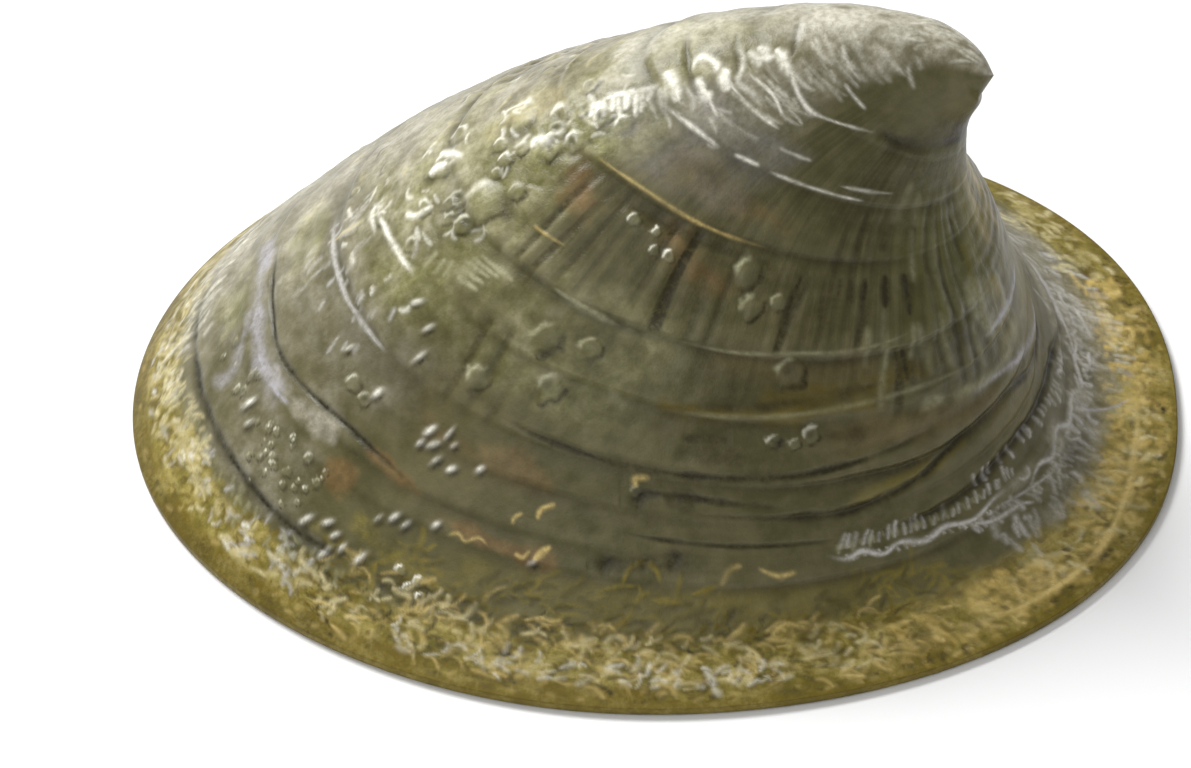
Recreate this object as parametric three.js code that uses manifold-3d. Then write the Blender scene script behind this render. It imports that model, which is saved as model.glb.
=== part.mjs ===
// River limpet shell: one thin hollow cap with a hooked apex, a flared rim and an open underside.
// Millimetres, +Z up. +X points the way the apex hooks, and the origin lies under the middle of the rim.
import * as THREE from 'three';
import * as BufferGeometryUtils from 'three/addons/utils/BufferGeometryUtils.js';
import Module from 'manifold-3d';

// Driving dimensions
const LENGTH = 8.0;
const WIDTH = 6.3;
const RIM_EDGE = 0.08;
const WALL = 0.2;

// Growth stages, from the tip of the apex at age 0 to the rim at age 1. Each is one former rim of the
// shell: its front and back ends as [x, z], half its width, and how far its middle leans toward +Y.
const STAGES = [
  { age: 0, front: [2.53, 3.4], back: [2.53, 3.4], half: 0, lean: 0.25 },
  { age: 0.015, front: [2.46, 3.52], back: [2.45, 3.26], half: 0.13, lean: 0.28 },
  { age: 0.05, front: [2.15, 3.68], back: [2.45, 3.06], half: 0.27, lean: 0.4 },
  { age: 0.1, front: [1.55, 3.75], back: [2.38, 2.83], half: 0.42, lean: 0.48 },
  { age: 0.2, front: [0.6, 3.62], back: [2.34, 2.52], half: 0.66, lean: 0.47 },
  { age: 0.35, front: [-0.57, 3.19], back: [2.4, 2.13], half: 1.07, lean: 0.38 },
  { age: 0.5, front: [-1.44, 2.6], back: [2.6, 1.72], half: 1.64, lean: 0.28 },
  { age: 0.65, front: [-2.25, 1.9], back: [2.8, 1.1], half: 2.13, lean: 0.2 },
  { age: 0.8, front: [-3.06, 1.12], back: [3.08, 0.48], half: 2.52, lean: 0.14 },
  { age: 0.9, front: [-3.58, 0.58], back: [3.42, 0.21], half: 2.79, lean: 0.08 },
  { age: 1, front: [-LENGTH / 2, RIM_EDGE], back: [LENGTH / 2, RIM_EDGE], half: WIDTH / 2, lean: 0 },
];

// The rim is a little fuller than an ellipse, most of all toward its far back quarter.
const FULLNESS = 0.12;
const FULLNESS_SWING = 0.16;
const FULLEST_BEARING = Math.PI / 4;
const FULLNESS_FROM_AGE = 0.3;

// Growth ledges: the age of each and how far its lip stands proud. A lip rises slowly and drops sharply.
const LEDGES = [
  { age: 0.175, lip: 0.012 },
  { age: 0.275, lip: 0.018 },
  { age: 0.37, lip: 0.024 },
  { age: 0.51, lip: 0.024 },
  { age: 0.59, lip: 0.016 },
  { age: 0.675, lip: 0.032 },
  { age: 0.725, lip: 0.016 },
  { age: 0.785, lip: 0.036 },
  { age: 0.89, lip: 0.034 },
];
const LIP_RISE = 0.035;
const LIP_DROP = 0.012;
const LIP_UNEVENNESS = 0.4;

// Lumps grown on the near flank and the crest, as [age, bearing in degrees, radius]. Bearings run
// from 0 at the back through 90 on the +Y side and 180 at the front.
const LUMPS = [
  [0.38, 204, 0.1], [0.4, 196, 0.12], [0.42, 183, 0.11], [0.45, 176, 0.11], [0.5, 198, 0.16],
  [0.4, 235, 0.08], [0.4, 242, 0.08], [0.42, 246, 0.08], [0.41, 267, 0.11], [0.45, 271, 0.1],
  [0.44, 277, 0.09], [0.53, 283, 0.13], [0.55, 244, 0.1], [0.56, 235, 0.11], [0.61, 241, 0.12],
  [0.64, 229, 0.11], [0.62, 285, 0.09], [0.62, 290, 0.1], [0.69, 263, 0.09], [0.73, 211, 0.1],
  [0.74, 215, 0.09], [0.74, 228, 0.08], [0.72, 232, 0.08], [0.73, 238, 0.08], [0.75, 252, 0.09],
  [0.77, 247, 0.08], [0.79, 262, 0.08], [0.81, 237, 0.09], [0.83, 211, 0.1], [0.86, 216, 0.09],
  [0.85, 236, 0.1],
];
const LUMP_FLATNESS = 0.8;
const LUMP_SUNK = 0.3;
const LUMP_DETAIL = 1;

// The +Y flank carries the same kind of lumps, spread by the golden ratio and the plastic number.
const FAR_LUMPS = 16;
const FAR_AGES = [0.36, 0.84];
const FAR_BEARINGS = [25, 160];
const FAR_RADII = [0.08, 0.12];
const AGE_STRIDE = 0.618;
const BEARING_STRIDE = 0.755;

// Facets: points round each ring, the rings of the hook, the extra rings of the flank and the rim's flare.
const POINTS_ROUND = 72;
const HOOK_AGES = [0.004, 0.015, 0.035, 0.06, 0.095];
const FLANK_AGES = [0.225, 0.32, 0.44, 0.835, 0.93, 0.965, 0.99, 1];

// Inside: how far the flat underside of the rim reaches in, and the rings and dome of the hollow.
const REST_WIDTH = 0.5;
const REST_WIDER_BEHIND = 0.3;
const FOOT_INSET = 0.03;
const HOLLOW_AGES = [0.84, 0.74, 0.64, 0.54, 0.44, 0.35, 0.27, 0.21];
const DOME = [
  { share: 0.6, rise: 0.06 },
  { share: 0, rise: 0.1 },
];

// Finish
const SHELL_COLOUR = 0x6b6648;
const SHELL_ROUGHNESS = 0.45;

// Slope of one measure at stage k, by a parabola through its neighbours.
function slopeAt(pick, k) {
  const step = (i) => (pick(STAGES[i + 1]) - pick(STAGES[i])) / (STAGES[i + 1].age - STAGES[i].age);
  if (k === 0) {
    return step(0);
  }
  if (k === STAGES.length - 1) {
    return step(k - 1);
  }
  const before = STAGES[k].age - STAGES[k - 1].age;
  const after = STAGES[k + 1].age - STAGES[k].age;
  return (step(k - 1) * after + step(k) * before) / (before + after);
}

// One measure of the shell at any age, as a smooth curve through the stages.
function grown(pick, age) {
  const k = Math.min(STAGES.findLastIndex((stage) => stage.age <= age), STAGES.length - 2);
  const from = STAGES[k];
  const to = STAGES[k + 1];
  const span = to.age - from.age;
  const u = (age - from.age) / span;
  const blend = u * u * (3 - 2 * u);
  const leaving = u * (1 - u) ** 2 * span * slopeAt(pick, k);
  const arriving = u * u * (1 - u) * span * slopeAt(pick, k + 1);
  return pick(from) + (pick(to) - pick(from)) * blend + leaving - arriving;
}

// How far a ring bulges past its ellipse at one bearing.
function bulge(age, bearing) {
  const share = THREE.MathUtils.clamp((age - FULLNESS_FROM_AGE) / (1 - FULLNESS_FROM_AGE), 0, 1);
  const power = 2 + share * (FULLNESS + FULLNESS_SWING * Math.cos(bearing - FULLEST_BEARING));
  const sum = Math.abs(Math.cos(bearing)) ** power + Math.abs(Math.sin(bearing)) ** power;
  return sum ** (-1 / power);
}

// A point of the smooth outer skin.
function skinPoint(age, bearing) {
  const reach = bulge(age, bearing);
  const along = (1 + reach * Math.cos(bearing)) / 2;
  const x = THREE.MathUtils.lerp(grown((s) => s.front[0], age), grown((s) => s.back[0], age), along);
  const z = THREE.MathUtils.lerp(grown((s) => s.front[1], age), grown((s) => s.back[1], age), along);
  const y = grown((s) => s.lean, age) + grown((s) => s.half, age) * reach * Math.sin(bearing);
  return new THREE.Vector3(x, y, z);
}

// The outward direction of the skin.
function skinNormal(age, bearing) {
  const nudge = 0.002;
  const older = skinPoint(Math.min(age + nudge, 1), bearing);
  const younger = skinPoint(Math.max(age - nudge, nudge), bearing);
  const left = skinPoint(age, bearing + nudge);
  const right = skinPoint(age, bearing - nudge);
  return older.sub(younger).cross(left.sub(right)).normalize();
}

// How far the growth ledges lift the skin.
function ledgeLift(age, bearing) {
  let lift = 0;
  for (const ledge of LEDGES) {
    const past = age - ledge.age;
    const shape = past < 0 ? 1 + past / LIP_RISE : 1 - past / LIP_DROP;
    const uneven = 1 + LIP_UNEVENNESS * Math.sin(3 * bearing + 40 * ledge.age);
    lift += ledge.lip * uneven * Math.max(0, shape);
  }
  return lift;
}

// A ring of points, one for each bearing.
function ring(place) {
  const bearings = Array.from({ length: POINTS_ROUND }, (_, i) => (i / POINTS_ROUND) * 2 * Math.PI);
  return bearings.map(place);
}

// The ages of the outer rings: the hook, three rings to each ledge, and the flank and flare between.
function outerAges() {
  const ledgeAges = LEDGES.flatMap(({ age }) => [age - LIP_RISE, age, age + LIP_DROP]);
  return [...HOOK_AGES, ...ledgeAges, ...FLANK_AGES].sort((a, b) => a - b);
}

function outerRing(age) {
  return ring((bearing) => {
    const lift = ledgeLift(age, bearing);
    return skinPoint(age, bearing).addScaledVector(skinNormal(age, bearing), lift);
  });
}

// A ring on the ground, drawn in from the rim by an inset that may change with the bearing.
function groundRing(inset) {
  return ring((bearing) => {
    const reach = bulge(1, bearing);
    const x = (LENGTH / 2 - inset(bearing)) * reach * Math.cos(bearing);
    const y = (WIDTH / 2 - inset(bearing)) * reach * Math.sin(bearing);
    return new THREE.Vector3(x, y, 0);
  });
}

function hollowRing(age) {
  return ring((bearing) => skinPoint(age, bearing).addScaledVector(skinNormal(age, bearing), -WALL));
}

// The rounded top of the hollow: its last ring drawn together and raised toward the hook.
function domeRing(lastRing, { share, rise }) {
  const middle = new THREE.Vector3();
  lastRing.forEach((point) => middle.addScaledVector(point, 1 / lastRing.length));
  const back = lastRing[0].clone().sub(lastRing[POINTS_ROUND / 2]);
  const up = new THREE.Vector3(-back.z, 0, back.x).normalize();
  return lastRing.map((point) => middle.clone().lerp(point, share).addScaledVector(up, rise));
}

// A closed solid from rings that run from a first point to a last one.
function loft(firstPoint, rings, lastPoint) {
  const points = [firstPoint, ...rings.flat(), lastPoint];
  const at = (row, i) => 1 + row * POINTS_ROUND + (i % POINTS_ROUND);
  const triangles = [];
  for (let i = 0; i < POINTS_ROUND; i += 1) {
    triangles.push(0, at(0, i), at(0, i + 1));
    for (let row = 0; row < rings.length - 1; row += 1) {
      triangles.push(at(row, i), at(row + 1, i), at(row + 1, i + 1));
      triangles.push(at(row, i), at(row + 1, i + 1), at(row, i + 1));
    }
    triangles.push(points.length - 1, at(rings.length - 1, i + 1), at(rings.length - 1, i));
  }
  const geometry = new THREE.BufferGeometry();
  geometry.setAttribute('position', new THREE.Float32BufferAttribute(points.flatMap((p) => p.toArray()), 3));
  geometry.setIndex(triangles);
  return geometry;
}

function hollowCap() {
  const outer = outerAges().map(outerRing);
  const foot = groundRing(() => FOOT_INSET);
  const rest = groundRing((bearing) => REST_WIDTH + REST_WIDER_BEHIND * Math.cos(bearing));
  const hollow = HOLLOW_AGES.map(hollowRing);
  const dome = DOME.map((step) => domeRing(hollow.at(-1), step));
  return loft(skinPoint(0, 0), [...outer, foot, rest, ...hollow, dome[0]], dome[1][0]);
}

// A low round lump, half sunk in the skin.
function lump([age, degrees, radius]) {
  const bearing = THREE.MathUtils.degToRad(degrees);
  const normal = skinNormal(age, bearing);
  const lift = ledgeLift(age, bearing) - radius * LUMP_SUNK;
  const middle = skinPoint(age, bearing).addScaledVector(normal, lift);
  const turn = new THREE.Quaternion().setFromUnitVectors(new THREE.Vector3(0, 0, 1), normal);
  const size = new THREE.Vector3(radius, radius, radius * LUMP_FLATNESS);
  const ball = new THREE.OctahedronGeometry(1, LUMP_DETAIL);
  return ball.applyMatrix4(new THREE.Matrix4().compose(middle, turn, size));
}

// The lumps of the +Y flank.
function farLumps() {
  const spread = ([low, high], share) => THREE.MathUtils.lerp(low, high, share % 1);
  return Array.from({ length: FAR_LUMPS }, (_, i) => [
    spread(FAR_AGES, (i + 1) * AGE_STRIDE),
    spread(FAR_BEARINGS, (i + 1) * BEARING_STRIDE),
    spread(FAR_RADII, (i + 1) * AGE_STRIDE * BEARING_STRIDE),
  ]);
}

const wasm = await Module();
wasm.setup();

function toSolid(geometry) {
  geometry.deleteAttribute('normal');
  geometry.deleteAttribute('uv');
  const merged = BufferGeometryUtils.mergeVertices(geometry);
  const vertProperties = new Float32Array(merged.attributes.position.array);
  const triVerts = new Uint32Array(merged.index.array);
  return new wasm.Manifold(new wasm.Mesh({ numProp: 3, vertProperties, triVerts }));
}

function toGeometry(solid) {
  const { vertProperties, triVerts } = solid.getMesh();
  const geometry = new THREE.BufferGeometry();
  geometry.setAttribute('position', new THREE.BufferAttribute(vertProperties, 3));
  geometry.setIndex(new THREE.BufferAttribute(triVerts, 1));
  geometry.computeVertexNormals();
  return geometry;
}

function shell() {
  const cap = toSolid(hollowCap());
  const lumps = [...LUMPS, ...farLumps()].map((place) => toSolid(lump(place)));
  const geometry = toGeometry(lumps.reduce((solid, piece) => solid.add(piece), cap));
  const material = new THREE.MeshStandardMaterial({
    color: SHELL_COLOUR,
    roughness: SHELL_ROUGHNESS,
    metalness: 0,
  });
  const mesh = new THREE.Mesh(geometry, material);
  mesh.name = 'shell';
  return mesh;
}

const group = new THREE.Group();
group.add(shell());

export default group;
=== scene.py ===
# River limpet shell: its fine surface, colours, studio floor, light and camera.
# The growth form is worked out in millimetres and handed to Blender in metres.
import itertools
import math

import bpy
import numpy as np
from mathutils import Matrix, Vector


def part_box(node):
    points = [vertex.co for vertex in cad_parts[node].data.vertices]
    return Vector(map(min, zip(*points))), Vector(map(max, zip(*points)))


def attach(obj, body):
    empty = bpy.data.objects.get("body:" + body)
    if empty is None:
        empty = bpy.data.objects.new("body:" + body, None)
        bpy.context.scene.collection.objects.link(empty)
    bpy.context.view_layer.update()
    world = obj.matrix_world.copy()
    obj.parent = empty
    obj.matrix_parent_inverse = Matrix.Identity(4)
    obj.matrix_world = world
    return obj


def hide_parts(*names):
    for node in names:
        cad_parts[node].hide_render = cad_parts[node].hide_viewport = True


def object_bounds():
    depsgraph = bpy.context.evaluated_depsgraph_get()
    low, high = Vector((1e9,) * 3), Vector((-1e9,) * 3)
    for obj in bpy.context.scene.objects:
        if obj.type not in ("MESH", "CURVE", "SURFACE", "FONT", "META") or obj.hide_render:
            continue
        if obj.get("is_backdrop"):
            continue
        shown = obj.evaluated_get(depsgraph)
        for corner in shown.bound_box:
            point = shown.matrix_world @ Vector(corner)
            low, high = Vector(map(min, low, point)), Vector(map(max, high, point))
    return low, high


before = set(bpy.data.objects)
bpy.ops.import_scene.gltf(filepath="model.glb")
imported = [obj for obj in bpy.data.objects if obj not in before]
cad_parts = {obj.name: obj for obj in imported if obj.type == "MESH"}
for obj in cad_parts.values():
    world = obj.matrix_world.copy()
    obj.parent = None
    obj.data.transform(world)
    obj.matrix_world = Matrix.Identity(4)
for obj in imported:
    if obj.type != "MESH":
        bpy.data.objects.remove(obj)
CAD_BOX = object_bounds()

# Units, the size of the solid that the fine shell stands for, the height of its rim's edge and its wall
MM = 0.001
LOW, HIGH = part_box("shell")
LENGTH = (HIGH.x - LOW.x) / MM
WIDTH = (HIGH.y - LOW.y) / MM
RIM_EDGE = 0.08
WALL = 0.2

# Growth stages, from the tip of the apex at age 0 to the rim at age 1. Each row is one former rim:
# age, front x, front z, back x, back z, half width, lean toward +Y.
# A bearing runs round a ring: 0 is the back (+X), 90 the far side, 180 the front and 270 the near side.
STAGES = np.array([
    (0, 2.53, 3.4, 2.53, 3.4, 0, 0.25),
    (0.015, 2.46, 3.52, 2.45, 3.26, 0.13, 0.28),
    (0.05, 2.15, 3.68, 2.45, 3.06, 0.27, 0.4),
    (0.1, 1.55, 3.75, 2.38, 2.83, 0.42, 0.48),
    (0.2, 0.6, 3.62, 2.34, 2.52, 0.66, 0.47),
    (0.35, -0.57, 3.19, 2.4, 2.13, 1.07, 0.38),
    (0.5, -1.44, 2.6, 2.6, 1.72, 1.64, 0.28),
    (0.65, -2.25, 1.9, 2.8, 1.1, 2.13, 0.2),
    (0.8, -3.06, 1.12, 3.08, 0.48, 2.52, 0.14),
    (0.9, -3.58, 0.58, 3.42, 0.21, 2.79, 0.08),
    (1, -LENGTH / 2, RIM_EDGE, LENGTH / 2, RIM_EDGE, WIDTH / 2, 0),
])

# The rim is a little fuller than an ellipse, most of all toward its far back quarter.
FULLNESS = 0.12
FULLNESS_SWING = 0.16
FULLEST_BEARING = math.pi / 4
FULLNESS_FROM_AGE = 0.3

# Growth ledges that run all the way round: age, how far the lip stands proud and the bearings where it is
# strongest. On the rest of the ring it has LEDGE_ELSEWHERE of that height.
LEDGES = (
    (0.175, 0.012, (150, 300)), (0.275, 0.016, (150, 310)), (0.37, 0.018, (130, 290)),
    (0.51, 0.018, (150, 325)), (0.59, 0.014, (230, 365)), (0.675, 0.022, (150, 335)),
    (0.725, 0.014, (255, 385)), (0.785, 0.01, (90, 240)), (0.82, 0.018, (290, 400)),
    (0.89, 0.007, (80, 234)),
)
LEDGE_ELSEWHERE = 0.3

# A lip's slow rise, its sharp drop and the groove after it, in age, the depth of the groove as a share of the
# lip, and how dark the groove is after a lip of the height that follows.
LIP_RISE = 0.035
LIP_DROP = 0.008
GROOVE_LENGTH = 0.012
GROOVE_SHARE = 0.7
GROOVE_SHADE = 0.7
GROOVE_SHADE_LIP = 0.03

# Lumps: age, bearing in degrees, radius, True for one with a sunken middle, and how pale the painted
# highlight on its upper edge is.
LUMPS = (
    # crest
    (0.496, 199, 0.19, False, 0.65), (0.531, 181, 0.14, False, 0.8), (0.401, 199, 0.13, True, 1.0),
    (0.378, 203, 0.1, True, 1.0), (0.379, 190, 0.11, True, 0.9), (0.425, 180, 0.17, False, 0.8),
    (0.34, 200, 0.09, True, 1.0), (0.326, 208, 0.09, False, 0.9), (0.454, 193, 0.07, False, 0.8),
    (0.454, 187, 0.08, False, 0.8), (0.51, 173, 0.1, False, 0.7), (0.46, 204, 0.08, False, 0.5),
    (0.62, 183, 0.08, True, 0.8), (0.56, 190, 0.08, False, 0.7), (0.59, 196, 0.07, True, 0.6),
    # near flank
    (0.4, 235, 0.06, False, 0.8), (0.4, 242, 0.045, False, 1.0), (0.42, 244, 0.045, False, 0.8),
    (0.42, 248, 0.06, True, 0.9), (0.41, 267, 0.12, False, 0.35), (0.45, 271, 0.1, False, 0.3),
    (0.44, 277, 0.08, False, 0.3), (0.53, 283, 0.13, True, 0.35), (0.55, 244, 0.1, False, 0.35),
    (0.56, 235, 0.13, False, 0.3), (0.61, 241, 0.12, True, 0.45), (0.64, 229, 0.1, False, 0.4),
    (0.62, 283, 0.06, True, 0.6), (0.625, 287, 0.05, False, 0.5), (0.615, 290, 0.07, True, 0.6),
    (0.7, 263, 0.05, False, 0.4),
    # front
    (0.73, 211, 0.08, False, 0.6), (0.735, 215, 0.07, True, 0.5), (0.88, 237, 0.05, False, 0.9),
    (0.886, 240, 0.055, False, 0.8), (0.897, 239, 0.05, False, 0.9), (0.904, 241, 0.05, True, 1.0),
)
# The height of a lump as a share of its radius, and the direction of the light that its painted highlight
# faces
LUMP_HEIGHT = 0.15
LIT_FROM = np.array([-0.55, 0.2, 0.8])

# Lumps that a random draw places: how many, ages, bearings, radii, the share with a sunken middle, and the
# paleness of their painted highlights.
LUMP_SCATTERS = (
    (14, (0.32, 0.6), (176, 202), (0.05, 0.1), 0.35, 0.7),
    (30, (0.82, 0.892), (205, 219), (0.022, 0.045), 0.25, 0.8),
    (9, (0.81, 0.85), (178, 204), (0.025, 0.05), 0.25, 0.7),
    (14, (0.34, 0.68), (142, 168), (0.05, 0.09), 0.35, 0.6),
    (26, (0.42, 0.86), (40, 145), (0.05, 0.11), 0.4, 0.5),
    (10, (0.72, 0.88), (110, 150), (0.04, 0.07), 0.3, 0.5),
)

# Small beads across the growth lines, each shown as a dash of painted glint with a painted shadow below it:
# age and bearing.
DASHES = (
    (0.736, 228), (0.73, 230), (0.719, 233), (0.744, 232), (0.745, 235), (0.73, 239), (0.718, 228),
    (0.71, 231), (0.812, 238), (0.828, 234), (0.818, 253), (0.836, 230), (0.825, 232), (0.902, 226),
    (0.886, 228), (0.888, 231), (0.63, 214), (0.66, 217), (0.71, 205), (0.835, 199), (0.848, 202),
    (0.881, 221), (0.87, 224), (0.878, 226), (0.62, 208), (0.72, 216),
)
DASH_LENGTHS = (0.07, 0.13)
DASH_HALF_WIDTH = 0.02
DASH_HEIGHT = 0.012
DASH_HEADING = -70
DASH_HEADING_SPREAD = 12
# Where each bead's painted shadow lies: heading and distance
DASH_SHADE_HEADING = 40
DASH_SHADE_OFFSET = 2.2 * DASH_HALF_WIDTH

# Dark pits: age, bearing and radius.
PITS = ((0.799, 263, 0.08), (0.782, 272, 0.08), (0.706, 264, 0.08), (0.79, 268, 0.05), (0.622, 284, 0.05))

# How much painted shade a raised line lays at its foot
FOOT_SHADE = 0.15

# How far each kind of mark reaches, as a multiple of its half width, half length or radius
LUMP_REACH = 1.8
PIT_REACH = 2
DASH_REACH = 2.5
LINE_REACH = 3.2
STAIN_REACH = 2.6

# Ages that keep clear of the tip, where all bearings meet: the youngest normal, and the ranges of the paths
# and of the strokes, which also keep clear of the rim's edge.
NORMALS_FROM_AGE = 0.003
PATH_AGES = (0.002, 1)
STROKE_AGES = (0.004, 0.99)

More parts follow.
